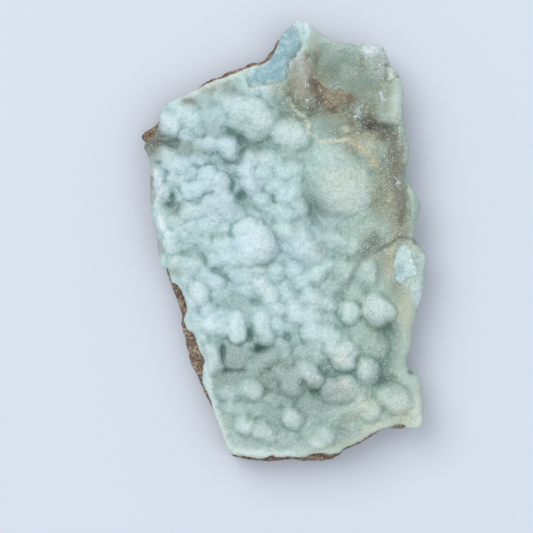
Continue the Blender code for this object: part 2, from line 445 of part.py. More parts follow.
def back_height(x, y, outline):
    """Height of the rock's rough back.

    It is flat on the resting patches, hollowed between them and bevelled towards the edge.
    """
    hollow = BACK_RELIEF * (BACK_HOLLOW_LEVEL + rough_noise(x, y, BACK_HOLLOW_SIZE))
    for at_x, at_y, reach in RESTING_PATCHES:
        near = np.exp(-(np.hypot(x - at_x, y - at_y) / reach) ** RESTING_PATCH_CURVE)
        hollow = hollow - 2 * BACK_RELIEF * near
    near_edge = 1 - np.clip(depth_inside(x, y, outline) / BACK_BEVEL_REACH, 0, 1)
    rise = BACK_BEVEL_RISE * (1 + BACK_BEVEL_SWING * rough_noise(x, y, 2 * BACK_HOLLOW_SIZE))
    return np.maximum(hollow, 0) * (1 - near_edge) + rise * near_edge ** BACK_BEVEL_CURVE


def rough_noise(x, y, size, level=NOISE_LEVEL):
    """Smooth noise between about -1 and 1 whose lumps are of the given size."""
    places = zip(np.ravel(x), np.ravel(y), np.ravel(np.broadcast_to(level, np.shape(x))))
    values = [noise.noise(Vector((px / size, py / size, pz))) for px, py, pz in places]
    return np.array(values).reshape(np.shape(x))


def put_at(vertices, x, y, z):
    """Move the vertices to the given places, in millimetres."""
    for vertex, px, py, pz in zip(vertices, x, y, z):
        vertex.co = Vector((px, py, pz)) * MM


def places_of(vertices):
    """The vertices' x and y, in millimetres."""
    places = np.array([vertex.co[:2] for vertex in vertices]) / MM
    return places[:, 0], places[:, 1]


def edges_round(ring):
    """The edges between the successive vertices of a closed ring."""
    pairs = zip(ring, ring[1:] + ring[:1])
    return [next(e for e in a.link_edges if e.other_vert(a) is b) for a, b in pairs]


def grown_ring(bm, ring):
    """Extrude a ring of edges and return the new ring, in the same order."""
    made = bmesh.ops.extrude_edge_only(bm, edges=edges_round(ring))["geom"]
    new = {item for item in made if isinstance(item, bmesh.types.BMVert)}
    return [next(e.other_vert(v) for e in v.link_edges if e.other_vert(v) in new) for v in ring]


def border_ring(bm):
    """The vertices round the border of an open sheet, in order."""
    first = next(vertex for vertex in bm.verts if vertex.is_boundary)
    ring = [first]
    edge = next(e for e in first.link_edges if e.is_boundary)
    while True:
        vertex = edge.other_vert(ring[-1])
        if vertex is first:
            return ring
        ring.append(vertex)
        edge = next(e for e in vertex.link_edges if e.is_boundary and e is not edge)


def seats_on(outline, ring):
    """Where each vertex of a ring sits along the outline, as an even run of indices.

    The outline's four furthest points each get a vertex, so the sheet keeps its full size.
    """
    x, y = places_of(ring)
    count = len(outline)
    nearest = np.array([np.argmin(np.hypot(outline[:, 0] - px, outline[:, 1] - py))
                        for px, py in zip(x, y)])
    steps = (np.diff(nearest) + count / 2) % count - count / 2
    run = nearest[0] + np.concatenate(([0], np.cumsum(steps)))
    turns = count * np.sign(run[-1] - run[0])
    even = np.arange(len(ring)) * turns / len(ring)
    drift = run - even
    for _ in range(SEAT_ROUNDS):
        drift = 0.5 * drift + 0.25 * (np.roll(drift, 1) + np.roll(drift, -1))
    seats = (drift + even) % count
    for furthest in (*outline.argmin(axis=0), *outline.argmax(axis=0)):
        apart = np.abs((seats - furthest + count / 2) % count - count / 2)
        seats[apart.argmin()] = furthest
    return seats


def along_outline(values, seats):
    """Values at fractional indices of a closed outline."""
    low = np.floor(seats).astype(int) % len(values)
    share = (seats - np.floor(seats))[:, None]
    return values[low] * (1 - share) + values[(low + 1) % len(values)] * share


def sheet_within(outline, cell):
    """A sheet of square cells with a band of faces that reaches the outline.

    Returns the bmesh, the ring of vertices on the outline and their seats along it.
    """
    bm = bmesh.new()
    low = outline.min(axis=0) - cell
    high = outline.max(axis=0) + cell
    columns, rows = np.ceil((high - low) / cell).astype(int)
    half_width, half_length = columns * cell / 2 * MM, rows * cell / 2 * MM
    middle = Vector((*((low + high) / 2 * MM), 0))
    place = Matrix.Translation(middle) @ Matrix.Diagonal((half_width, half_length, 1, 1))
    bmesh.ops.create_grid(bm, x_segments=int(columns), y_segments=int(rows), size=1, matrix=place)
    vertices = list(bm.verts)
    depth = depth_inside(*places_of(vertices), outline)
    outside = [vertex for vertex, inner in zip(vertices, depth) if inner < CLEAR_OF_EDGE * cell]
    bmesh.ops.delete(bm, geom=outside, context="VERTS")
    while True:
        stray = [v for v in bm.verts
                 if not v.link_faces or sum(e.is_boundary for e in v.link_edges) > 2]
        if not stray:
            break
        bmesh.ops.delete(bm, geom=stray, context="VERTS")
    inner = border_ring(bm)
    seats = seats_on(outline, inner)
    ring = grown_ring(bm, inner)
    edge = along_outline(outline, seats)
    put_at(ring, edge[:, 0], edge[:, 1], np.zeros(len(ring)))
    near = [v for v in bm.verts if not v.is_boundary
            and any(e.other_vert(v) in set(inner) for e in v.link_edges)]
    for _ in range(BAND_ROUNDS):
        bmesh.ops.smooth_vert(bm, verts=near, factor=0.5, use_axis_x=True, use_axis_y=True)
    return bm, ring, seats


def add_walls(bm, ring, seats, outline, shares, last_height, undercut):
    """Extrude the ring through a wall's rings to its last height, and close it there."""
    edge = along_outline(outline, seats)
    outward = along_outline(outward_normals(outline), seats)
    first_height = np.array([vertex.co.z for vertex in ring]) / MM
    for share in shares:
        ring = grown_ring(bm, ring)
        height = first_height + share * (last_height - first_height)
        hollow = np.abs(rough_noise(edge[:, 0], edge[:, 1], WALL_LUMP, height / WALL_LUMP_STRETCH))
        back = (undercut * share ** UNDERCUT_CURVE + WALL_ROUGHNESS * hollow)[:, None] * outward
        put_at(ring, edge[:, 0] - back[:, 0], edge[:, 1] - back[:, 1], height)
    bmesh.ops.edgeloop_fill(bm, edges=edges_round(ring))


def finished_object(bm, name, material, smooth):
    """Turn a closed bmesh into a scene object with its material."""
    bmesh.ops.triangulate(bm, faces=bm.faces)
    bmesh.ops.recalc_face_normals(bm, faces=bm.faces)
    mesh = bpy.data.meshes.new(name)
    bm.to_mesh(mesh)
    bm.free()
    mesh.materials.append(material)
    if smooth:
        mesh.shade_smooth()
    thing = bpy.data.objects.new(name, mesh)
    bpy.context.scene.collection.objects.link(thing)
    return thing


def plain_material(name, colour, roughness, subsurface):
    """A Principled material with one colour."""
    material = bpy.data.materials.new(name)
    material.use_nodes = True
    shader = material.node_tree.nodes["Principled BSDF"]
    shader.inputs["Base Color"].default_value = (*colour, 1)
    shader.inputs["Roughness"].default_value = roughness
    shader.inputs["Metallic"].default_value = 0.0
    shader.inputs["Subsurface Weight"].default_value = subsurface
    return material


def build_crust():
    """The botryoidal crust, one solid with all its lumps."""
    outline = smoothed(CRUST_TOP_LEFT + TIP_AND_SHOULDER + RIGHT_SIDE + LOWER_RIGHT_CORNER
                       + CRUST_BOTTOM + LOWER_LEFT_FOOT + CRUST_LOWER_LEFT + LEFT_SIDE[:-1])
    bm, ring, seats = sheet_within(outline, CRUST_CELL)
    vertices = list(bm.verts)
    x, y = places_of(vertices)
    put_at(vertices, x, y, crust_height(x, y, outline))
    add_walls(bm, ring, seats, outline, CRUST_WALL, ROCK_THICKNESS + SEAM_GAP, CRUST_UNDERCUT)
    material = plain_material("Hemimorphite", CRUST_COLOUR, 0.35, 0.3)
    crust = finished_object(bm, "hemimorphite_crust", material, True)
    thinning = crust.modifiers.new("Fewer triangles", "DECIMATE")
    thinning.ratio = CRUST_KEPT


def build_rock():
    """The brown rock beneath, flat at the seam and rough on its back."""
    right = inset(TIP_AND_SHOULDER + RIGHT_SIDE + LOWER_RIGHT_CORNER, RIM_INSET)
    left = inset(LEFT_SIDE, LEFT_INSET)
    outline = smoothed(ROCK_TOP_LEFT + right + ROCK_BOTTOM + LOWER_LEFT_FOOT + ROCK_LOWER_LEFT
                       + left)
    bm, ring, seats = sheet_within(outline, ROCK_CELL)
    vertices = list(bm.verts)
    x, y = places_of(vertices)
    put_at(vertices, x, y, back_height(x, y, outline))
    add_walls(bm, ring, seats, outline, ROCK_WALL, ROCK_THICKNESS, 0.0)
    material = plain_material("Brown matrix", ROCK_COLOUR, 0.85, 0.0)
    finished_object(bm, "matrix_rock", material, False)


def main():
    for thing in list(bpy.data.objects):
        bpy.data.objects.remove(thing)
    build_rock()
    build_crust()


main()
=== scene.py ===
import bmesh
import bpy
import numpy as np
from mathutils import Matrix, Vector, kdtree, noise


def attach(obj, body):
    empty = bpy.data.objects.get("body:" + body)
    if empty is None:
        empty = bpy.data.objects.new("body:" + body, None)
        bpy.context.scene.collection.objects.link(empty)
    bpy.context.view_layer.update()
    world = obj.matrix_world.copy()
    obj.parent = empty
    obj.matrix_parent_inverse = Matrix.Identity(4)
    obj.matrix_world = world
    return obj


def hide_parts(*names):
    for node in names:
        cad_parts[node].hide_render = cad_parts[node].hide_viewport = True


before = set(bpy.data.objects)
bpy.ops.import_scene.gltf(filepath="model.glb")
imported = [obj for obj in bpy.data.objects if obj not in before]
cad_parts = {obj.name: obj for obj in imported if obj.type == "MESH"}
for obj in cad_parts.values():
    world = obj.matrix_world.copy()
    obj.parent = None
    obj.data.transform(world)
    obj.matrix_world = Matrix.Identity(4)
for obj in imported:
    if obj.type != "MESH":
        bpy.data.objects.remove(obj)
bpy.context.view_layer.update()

# The looks of a hemimorphite specimen that lies on its back: the botryoidal crust with its
# druse, the brown rock beneath it, the floor, the light and the camera over it.
# Sizes are in millimetres, and MM turns them into metres when a mesh is written.
MM = 0.001

# The camera looks straight down, as the photograph looks at the specimen
PHOTO_WIDTH = 533            # pixels
PIXEL = 0.40                 # millimetres of the specimen to a pixel
PHOTO_MIDDLE = (-6.8, -10.4)  # the place that the picture's middle shows
SHARP_LEVEL = 16.0           # the level at which PIXEL holds
LENS = 150.0
SENSOR = 36.0

# Levels and thicknesses, as in the solids
SEAM = 12.0
CRUST_THICKNESS = 7.0
LUMP_FILLET = 1.3
MOUND_FILLET = 2.6
GROWN_EDGE_ROUND = 2.6       # the smooth edge on the right
BROKEN_EDGE_ROUND = 0.9      # the broken edge elsewhere
RIM_INSET = 2.5
LEFT_INSET = 1.4
BREAK_REACH = 30.0
BACK_RELIEF = 3.2
BACK_HOLLOW_SIZE = 19.0
BACK_BEVEL_REACH = 15.0
BACK_BEVEL_RISE = 3.6

# Mesh sizes
CRUST_CELL = 0.46
ROCK_CELL = 0.95
FIELD_CELL = 0.42
OUTLINE_STEP = 0.25

# The outline, clockwise from the left corner, in stretches. Where bare rock shows past the
# crust, the stretch is given twice, once for the rock and once for the crust.
ROCK_TOP_LEFT = (
    (-57.4, 41.8), (-55, 44.4), (-52.2, 46), (-49.8, 48.6), (-49.2, 52.2), (-47.8, 54.4),
    (-43.8, 56.3), (-39.4, 58.4), (-35.8, 60.4), (-32.2, 63.4), (-29, 65.2), (-25.4, 66.2),
    (-22.6, 68), (-16.6, 69.8), (-13.4, 71.6), (-9.4, 72), (-7.2, 73.4), (-5.8, 75.4),
    (-4.2, 77.2), (-2.2, 80.8),
)
CRUST_TOP_LEFT = (
    (-55.8, 37.8), (-53.4, 40.2), (-51, 43.4), (-49.8, 46.6), (-49.4, 49.8), (-48.8, 52.6),
    (-47.4, 54.2), (-43.8, 56), (-39.4, 58), (-35.8, 59.8), (-32.2, 61.8), (-28.6, 63.6),
    (-24.6, 64.8), (-20.6, 66.4), (-16.2, 68), (-12.2, 69.6), (-8.6, 70.4), (-5.8, 72.2),
    (-3.8, 75), (-2.2, 78.6), (-1, 81.8),
)
TIP_AND_SHOULDER = (
    (1.4, 84.4), (4.2, 87), (5.6, 88.4), (7, 88.2), (10.2, 86.4), (12.6, 84.6), (14.6, 82.6),
    (19, 79.8), (23, 78.6), (26.6, 78.6), (29.8, 77.6), (31.8, 78.4), (37, 77.8), (39.4, 77),
    (41.8, 73), (43, 69.4), (45.8, 66.2),
)
RIGHT_SIDE = (
    (47.2, 62.6), (47.8, 58.2), (47.4, 53.8), (48, 48.2), (49, 42.2), (50.1, 36.2), (49.4, 30.6),
    (48.6, 26.6), (49.8, 23), (52.2, 19.8), (54.2, 15.4), (54.6, 13), (52.8, 6.2), (52.4, 1),
    (54.2, -2.2), (56.8, -5.4), (57.4, -8.2), (56.5, -14.2), (56.2, -17.8), (54.8, -23.4),
    (53, -29), (51.4, -35.4), (50.8, -41.8), (49.2, -47.4),
)
LOWER_RIGHT_CORNER = (
    (49.8, -51), (52.6, -53.4), (54.2, -54.4), (55.4, -59.8), (55.8, -67.8), (55.2, -73.8),
    (52.4, -75.2),
)
ROCK_BOTTOM = (
    (48.6, -75.6), (45.2, -75.8), (41.6, -75.6), (39.4, -76.4), (35.2, -79), (30.6, -82),
    (24.8, -84.4), (22.4, -86.6), (18.8, -88.3), (15.8, -88.8), (8.2, -88.8), (1.8, -88.4),
    (-4.6, -88.9), (-11.4, -88.7), (-15.8, -88), (-19.8, -87.1), (-22.4, -84.8),
)
CRUST_BOTTOM = (
    (49.6, -75), (48, -73.9), (45.6, -73.6), (43.4, -74.3), (41.4, -75), (39.8, -75.2),
    (35, -77.4), (30.6, -80.2), (24.6, -83), (22, -84.9), (18.2, -85.6), (14.6, -85),
    (11.4, -85.3), (8.2, -86.6), (2.6, -86.4), (-2.6, -86.6), (-4.6, -85.9), (-7.4, -86.9),
    (-10.2, -87), (-15, -86.2), (-19.4, -85.8), (-22.2, -84.2),
)
LOWER_LEFT_FOOT = ((-23.4, -81), (-24.6, -77), (-27, -71.4))
ROCK_LOWER_LEFT = (
    (-30.2, -64.6), (-32.6, -59.8), (-34.6, -54.6), (-37.2, -50.2), (-38.6, -44.6), (-39.8, -39),
    (-41.2, -33.8), (-41, -30.2), (-42.6, -25), (-44.6, -19.8), (-47, -13.4),
)
CRUST_LOWER_LEFT = (
    (-29.8, -62.6), (-31.4, -59), (-32.6, -55.8), (-32.2, -51), (-31.8, -47.8), (-33.8, -43.4),
    (-35.8, -37.4), (-38.6, -35.4), (-39.8, -31.8), (-38.6, -27.4), (-39.8, -22.6), (-42.2, -18.2),
    (-44.6, -16.6), (-46.2, -11.8),
)
LEFT_SIDE = (
    (-48.6, -10.6), (-50.2, -3.8), (-51.2, 3.4), (-52.6, 10.2), (-53.4, 16.2), (-53.4, 24.2),
    (-53.6, 31), (-54.6, 34.2), (-55.8, 37.8),
)

# Broad swells and hollows of the crust's ground: x, y, reach in x, reach in y, height
SWELLS = (
    (-4, 0, 34, 56, 2), (-56, 8, 9, 34, -1.6), (-44, 38.6, 3.2, 2.8, -0.9),
    (-17, 40.6, 3.6, 4.4, -1.7), (0, 53.6, 3.4, 7.4, -1.3), (13, 12, 3.8, 6.4, -2.4),
    (-10.6, -11.4, 2.8, 1.6, 1.2), (17, -30.4, 3, 2, 0.8), (17, -4.2, 3.5, 3.5, -1.8),
    (-11, -24.6, 3, 1.6, -1.8), (-23.6, -48.4, 1.6, 4.6, -2), (-9, -43.2, 4, 1.6, -2.2),
    (14.4, -58.6, 2.2, 5, -2.6), (41.2, -45, 3.6, 12, -2.6), (54, -36, 8, 16, -1.4),
    (27, 60, 20, 17, 1.4), (22.6, 70.2, 6.4, 5.2, -2.6), (31, 61.4, 6, 5, -1.2),
    (19.6, 56, 8, 5, 1.4), (35.6, 72, 4, 4, 0.8), (34.8, 46.4, 3.4, 2.2, -1.8),
    (42, 45.6, 4.6, 1.6, -1.2),
)
# Pits and shadowed gaps between the lumps: the same five numbers
PITS = (
    (-44.2, 16.8, 1.1, 2.4, -2.4), (-45.6, 14.4, 2.2, 1.1, -2.2), (-16.8, 17.6, 1.6, 2.2, -3.6),
    (-15.2, 14.2, 1.8, 1.6, -1.4), (-17, 37, 1.8, 4.4, -1.7), (-20.4, 43, 2.6, 1.8, -1.4),
    (-46.2, 38.8, 4.4, 1.1, -0.8), (-21.6, 31, 3.6, 1.2, -1.2), (-20.6, 21.8, 1.4, 3.2, -1.6),
    (-10.2, -43.6, 3.4, 1.3, -3), (-13.4, -37.6, 1.3, 3.2, -2.6), (-20, -51.8, 4, 1.1, -1.8),
    (-24.2, -44.6, 1, 4, -1.8), (12.6, -60.2, 2.2, 2, -2.4), (42, -35.4, 2.6, 3.4, -2.2),
    (40, -56, 4.6, 2.2, -1.8), (1.6, -38.6, 2, 1.6, -1.6), (-6.8, -57.6, 1.6, 2.2, -1.2),
    (17, -53, 2.6, 1.4, -1.2), (34.8, 45.4, 2, 1.4, -1.2), (-38, -5, 3.6, 1.6, -0.7),
)
# Wide mounds that carry the lumps: the two ends of the spine, radius, rise
MOUNDS = (
    (-10, 28, -2, 27, 9.6, 2), (-16, -1, -8, 1, 9, 2), (20, 30, 25.4, 20, 11.8, 4.2),
    (4.6, 0.6, 11, -5, 7.6, 2), (4, -53, 10.6, -52, 8.6, 2.4), (19, -59.4, 25, -59.4, 7.6, 2),
    (13, -37, 23, -44, 8, 2.4), (-31, 20.6, -27, 12, 10.4, 2.2), (-16, 52, -9.6, 47.6, 8.4, 2.8),
    (33.8, 37.4, 36, 34.4, 6.8, 1.6), (36.4, 72.6, 37.8, 68.4, 5.8, 1.6),
    (6.6, 72, 8.8, 54, 5, 2.4), (43.4, 63, 42.6, 51, 4.8, 2), (51.8, 18.4, 51.2, 6, 2.8, 1.2),
    (48.6, 45, 48.8, 32.6, 2, 0.8), (46, -20, 45, -30, 6, 1.2),
)
# Lumps of the upper left: the same six numbers
UPPER_LEFT_LUMPS = (
    (-45.8, 47.2, -45, 45.4, 4.6, 3), (-38.6, 50.6, -35.4, 47.4, 4.8, 2.4),
    (-39.2, 41.8, -38.2, 41, 3.2, 1.8), (-33.8, 37.4, -33.4, 37.6, 3.2, 2.2),
    (-29.2, 38.2, -28.6, 38.2, 3.3, 2.5), (-22.6, 37.6, -20.8, 35.4, 5, 3.4),
    (-16.8, 52.6, -15.4, 51.6, 4.4, 2.2), (-12, 51, -9, 47.8, 5.6, 3),
    (-17.6, 46.6, -16.4, 46, 3.8, 1.8), (-11.6, 43.8, -9.6, 43.6, 4, 1.8),
    (-5.4, 47.6, -5, 45, 3.8, 1.4), (0.6, 42.8, 4.6, 41.2, 6.6, 3.8),
    (-48.4, 34.8, -47, 34, 3.8, 2.4), (-44.6, 31.6, -42.4, 29.6, 4.6, 2.8),
    (-39.4, 29.8, -38.6, 27.6, 4, 2), (-12.6, 60.2, -8.4, 59.4, 4, 1),
    (-24.4, 57.4, -22.6, 56.8, 4.2, 1.6), (-20.8, 54.6, -20, 54, 3.8, 1.4),
    (-28.6, 45.2, -27, 42.8, 3.2, 1.3), (-39, 37, -39, 35.8, 2.8, 1.2),
    (-30.2, 49.6, -30, 48.4, 3.2, 1.2), (-33.8, 32.8, -33.4, 32.4, 3, 1.4),
    (-42.4, 53.6, -41, 53.4, 3.2, 1), (-51.2, 35.6, -50.4, 34.6, 3, 1.6),
    (-33.8, 44, -33.2, 43.6, 2.8, 1), (-24.2, 49.6, -23.6, 48.6, 3, 1),
)
# Lumps of the middle left
LEFT_LUMPS = (
    (-30.8, 25.6, -29.6, 25, 4.2, 3.2), (-25.6, 24, -24.2, 22.4, 4, 3),
    (-29.8, 21.6, -29.4, 21.4, 3, 2), (-37.8, 19.4, -36.4, 19.8, 3.4, 2.2),
    (-34.4, 20.6, -33.4, 20.6, 3.2, 2.2), (-24.4, 18.4, -23, 16.6, 4, 2.4),
    (-28.6, 15, -27.4, 13.6, 3.8, 2), (-25, 12.6, -24, 12, 3.2, 1.6),
    (-27.6, 9.2, -26.6, 8.8, 3.2, 1.6), (-38.4, 11.4, -35.2, 11, 3.8, 2.4),
    (-32.4, 12.2, -31.6, 12.2, 3, 1.6), (-21.8, 10.8, -21.6, 9.8, 3.6, 1.8),
    (-18.2, 10.6, -17.8, 10.2, 2.8, 1.2), (-43.6, 24.6, -42.4, 24, 3.2, 1.6),
    (-40.2, 23.6, -39.6, 23, 3, 1.4), (-47.4, 18.8, -46.8, 20.4, 2.6, 1.4),
    (-42.4, 7.4, -40.6, 5, 4.2, 2.4), (-39.4, 2, -38.6, 2, 3.2, 1.6),
    (-35.6, 5.8, -34.4, 5.2, 3.4, 2), (-31.2, 6, -30.2, 5.6, 3.8, 2),
    (-49, 10.4, -48.6, 9.6, 2.6, 1.2), (-48.8, 7.4, -47.4, 4.4, 2.2, 1.6),
    (-44.4, 0.4, -44.2, -2.6, 3.4, 1.8), (-34.4, 1, -33.6, 0.6, 2.8, 1.4),
    (-30.4, -1.8, -29.6, -2.4, 3.8, 2), (-24, -2, -22.8, -2, 4.2, 2.2),
    (-24, 5.8, -23.6, 5.4, 2.8, 1.2), (-51, 25.4, -50.6, 23, 2.4, 1),
)
# Lumps of the middle
MIDDLE_LUMPS = (
    (-17, 3.8, -14.2, 5.4, 3.8, 2.8), (-10.2, 1.2, -8.8, -2.2, 6.2, 3.6),
    (-14.8, -1.4, -13.6, -4.4, 4.8, 2.6), (-21.4, -6, -19.6, -7.2, 4.2, 2),
    (-14.8, 28.6, -14.4, 26.4, 3.6, 2), (-13.2, 22.8, -12.2, 21.8, 4.2, 2.4),
    (-12.8, 32.6, -11.6, 32.2, 3.4, 1.8), (-8, 32.2, -6.4, 31.6, 4.2, 2.2),
    (-7.6, 26.4, -6.8, 26.2, 3.2, 1.4), (-3.4, 30.8, -2.4, 30.4, 3.4, 1.6),
    (-1, 27, 0.4, 27, 3.4, 1.8), (3.4, 28.6, 5, 27.4, 3.4, 1.4), (0.6, 18.8, 2.8, 18, 4.8, 2.8),
    (-9, 15.8, -7.6, 15.6, 3.6, 2), (-5.8, 13, -4.8, 12.4, 2.8, 1.4),
    (-0.6, 11.4, 1.2, 10.4, 4.4, 2.6), (0.6, 4.2, 2.6, 3, 4, 2), (-4, 22.4, -3.2, 22.2, 3.4, 1.4),
    (3.8, 23.6, 4.2, 23, 2.8, 1), (6.6, 2.6, 7.4, 1.6, 3.6, 1.4), (6.4, -2.4, 7.4, -3.4, 4, 1.8),
    (11.2, -3.6, 12, -5, 4.2, 2), (20.4, 0.4, 21.6, -0.4, 4, 1.8), (25.6, -1.4, 27, -1.8, 4, 1.6),
    (31.8, -10.8, 34.2, -13.4, 5.4, 2.4), (23, -11.4, 25, -12.4, 4.2, 1.8),
    (4.2, -11.2, 5, -12.4, 3.8, 2.2), (7.6, -15.6, 8.4, -16.2, 4, 2.2),
    (13.2, -15.4, 14, -12.4, 3.2, 2), (10.8, -22.6, 12, -23.4, 4.8, 2.8),
    (17.2, -25, 18, -25.8, 3.8, 2.6), (4.6, -28, 5.8, -29.4, 4.6, 2.8),
    (9.8, -31, 10.8, -31.6, 3.8, 2.2), (25.8, -28, 26.4, -29, 4.8, 3.6),
    (36.4, -27.2, 38.6, -28.4, 6.6, 4.8), (28, -20.8, 29.6, -21.8, 3.8, 1.2),
    (-8.8, -17.4, -7.4, -19, 3.6, 2.4), (-5.4, -21, -4.6, -23.6, 3.4, 2),
    (-16.2, -14.4, -15.4, -13.8, 3.8, 1.8), (-20.4, -11.4, -19.8, -12, 3.4, 1.6),
    (-2.8, -12, -2.4, -13.6, 3.2, 1.6), (-2.4, -27, -1.6, -27.4, 3, 1.6),
    (-15.6, -19.6, -14.6, -19.6, 2.8, 1.2), (-15.8, -7.8, -14.4, -8, 2.8, 1.4),
    (-27.6, -7.4, -25.4, -7.6, 3.2, 1.8), (5.8, 14.6, 6.6, 12.6, 3.4, 1.6),
    (17.8, -19.4, 19, -19, 3.4, 1.4), (0.4, -20.6, 1.4, -22, 2.8, 1.2),
    (16.6, -8.6, 17.4, -9.4, 3, 1.4),
)
# Lumps of the lower left
LOWER_LEFT_LUMPS = (
    (-42.6, -9.6, -40.8, -10.2, 3.6, 1.8), (-36, -9.8, -34.6, -10.6, 3.6, 1.8),
    (-31, -13.4, -30, -14.2, 3.4, 1.8), (-27.4, -16.4, -26.2, -17, 3.6, 2.2),
    (-34, -20, -32.6, -22.4, 4.2, 2.8), (-37, -25.6, -36.4, -26.6, 3, 1.6),
    (-25.4, -21.4, -23.6, -22.2, 3.6, 1.2), (-29.8, -28.2, -29.2, -29, 3.8, 2.2),
    (-29.2, -33.4, -28.4, -34.4, 4.2, 3), (-24.4, -29.6, -23.2, -30.8, 3.2, 1.8),
    (-18.4, -30.8, -18.4, -33, 3.6, 2.6), (-18.6, -36.6, -18.6, -38.2, 3.8, 3.2),
    (-34, -32.2, -33.8, -34, 3.2, 1.6), (-29, -44.6, -28.4, -49.4, 4.6, 3),
    (-19.6, -46.8, -18, -47.6, 4.7, 2.6), (-9, -31.4, -8.2, -33, 4, 2.4),
    (-8.4, -36, -6.8, -38.6, 3.8, 2.4), (-11.6, -51, -9.6, -49.8, 3.6, 1.8),
    (-6.4, -47, -4.8, -46.2, 3.8, 2.2), (-14, -59, -11.4, -59.8, 4.6, 2.8),
    (-22.2, -60.2, -21, -61.4, 4, 2.2), (-21.6, -66, -21, -66.8, 3.2, 1.6),
    (-17.2, -67.8, -16.6, -68.2, 3, 1.4), (-11.8, -67.4, -10.4, -68, 3.2, 1.4),
    (-16, -73.4, -14.4, -74.4, 3.8, 2.4), (-9, -76, -5.8, -77.2, 4.2, 2.4),
    (3.2, -70.8, 3.8, -71.4, 4.8, 3.4), (-6, -56, -5.4, -55, 3, 1.2),
    (-24.2, -34.4, -23.8, -36.2, 3, 2.2), (-13.9, -43.2, -13.5, -44.4, 2.5, 1.8),
    (-4.6, -63.8, -4, -64.2, 3, 1.2), (1, -63.2, 1.6, -63.6, 3, 1.2),
    (-38.6, -15.2, -38, -15.8, 2.8, 1.2), (0, -78.6, 1, -79, 3.4, 1),
    (-2.2, -34, -1.4, -34.8, 2.8, 1.2), (-33, -39, -32.6, -39.8, 2.8, 1.4),
)
# Lumps of the lower right
LOWER_RIGHT_LUMPS = (
    (11.4, -36.4, 12.6, -37, 4.4, 2.6), (17.2, -38, 18.6, -38.8, 4.4, 2.4),
    (-0.8, -42.6, 0.2, -43.6, 3.4, 1.8), (1.2, -46.4, 1.8, -47, 3.2, 1.6),
    (8, -45.2, 9.2, -46.2, 4, 1.8), (19.6, -43, 21, -44, 4.4, 2.6),
    (12.2, -41, 13.4, -41.6, 3.2, 1.6), (24.4, -44.8, 24, -47, 4.8, 2.8),
    (8.6, -50.6, 10.4, -51.2, 4, 2.8), (12, -54, 12.8, -55.2, 3.8, 2.8),
    (-0.6, -53, 0.2, -54, 3.8, 1.8), (4.6, -53.6, 5.2, -54.2, 3.4, 1.6),
    (2.6, -57.6, 3.6, -58.4, 4.2, 2.4), (18.8, -59.6, 21, -59.8, 4.8, 2.6),
    (24, -57.8, 25.4, -59.6, 4.8, 2.8), (29.8, -61.6, 30.4, -62.4, 3.2, 1.2),
    (32.8, -51, 33.6, -52.4, 5.2, 3.8), (32.6, -66, 34.6, -67.6, 4.6, 2.8),
    (37, -41.2, 38, -42.4, 4, 1.6), (42.2, -61.6, 45.8, -64.2, 6, 3.6),
    (16.8, -77.2, 17.8, -78, 4, 2), (12.8, -81, 13.6, -82.6, 3.2, 1.4),
    (12, -68.6, 13, -69, 3.4, 0.7), (19.4, -69, 20.6, -69.6, 4, 1),
    (26, -72.6, 27, -73.4, 3.2, 0.7), (9.6, -63.4, 10.2, -63.8, 3, 0.6),
    (30, -35, 30.6, -36, 3.4, 1), (13.4, -46.6, 14.4, -47.4, 3, 1.4),
    (26, -66.8, 27.2, -67.2, 3.6, 0.8), (9.8, -76.2, 10.4, -76.8, 3.2, 1),
)
# Narrow grooves (negative) and ridges (positive): half-width, height, points along it
GROOVES_AND_RIDGES = (
    (1, -0.3, ((-12, 9.4), (-8, 6.8), (-5, 3.6), (-2.2, -0.2), (-0.8, -4.6))),
    (1, -0.4, ((-0.8, -4.6), (2.8, -7.4), (7, -9.6), (11, -11))),
    (1, -0.3, ((-0.8, -4.6), (-4.4, -8.2), (-7.4, -10.6), (-11.4, -11.8))),
    (1.2, -0.3, ((-32.6, -6.4), (-29.4, -9.4), (-25.4, -13), (-21.4, -15.6))),
    (1.2, -0.6, ((13.4, -1), (15.6, -4.4), (19, -7))),
    (1.2, -0.5, ((52, -0.4), (49.6, 0.8), (46, 0.8), (43.4, -0.8), (38.6, -4))),
    (1.6, -0.3, ((38.6, -4), (32.6, -6.6), (28, -13.4), (23.4, -22.6))),
    (1, -0.5, ((47, 48.2), (47.2, 30.2), (48.4, 24.2), (49.4, 14.2), (50.2, 2.2))),
    (0.8, 0.5, ((2, 56.2), (4.8, 51.4), (8, 49), (10, 46.4), (9.8, 43.4), (13.6, 40.4),
                (25.4, 40))),
    (1.8, 0.9, ((25.4, 40), (29, 37.8), (34.6, 33.4), (38, 28.6))),
    (0.7, 0.8, ((13.4, 64.4), (15.6, 62), (18.6, 60.2))),
    (0.8, 0.9, ((1.6, 65), (1.6, 68.4), (3, 71.4), (4.6, 73.4), (6.4, 75.4))),
    (0.6, 0.5, ((17, 57.6), (19, 55.6), (20.6, 53.8))),
)
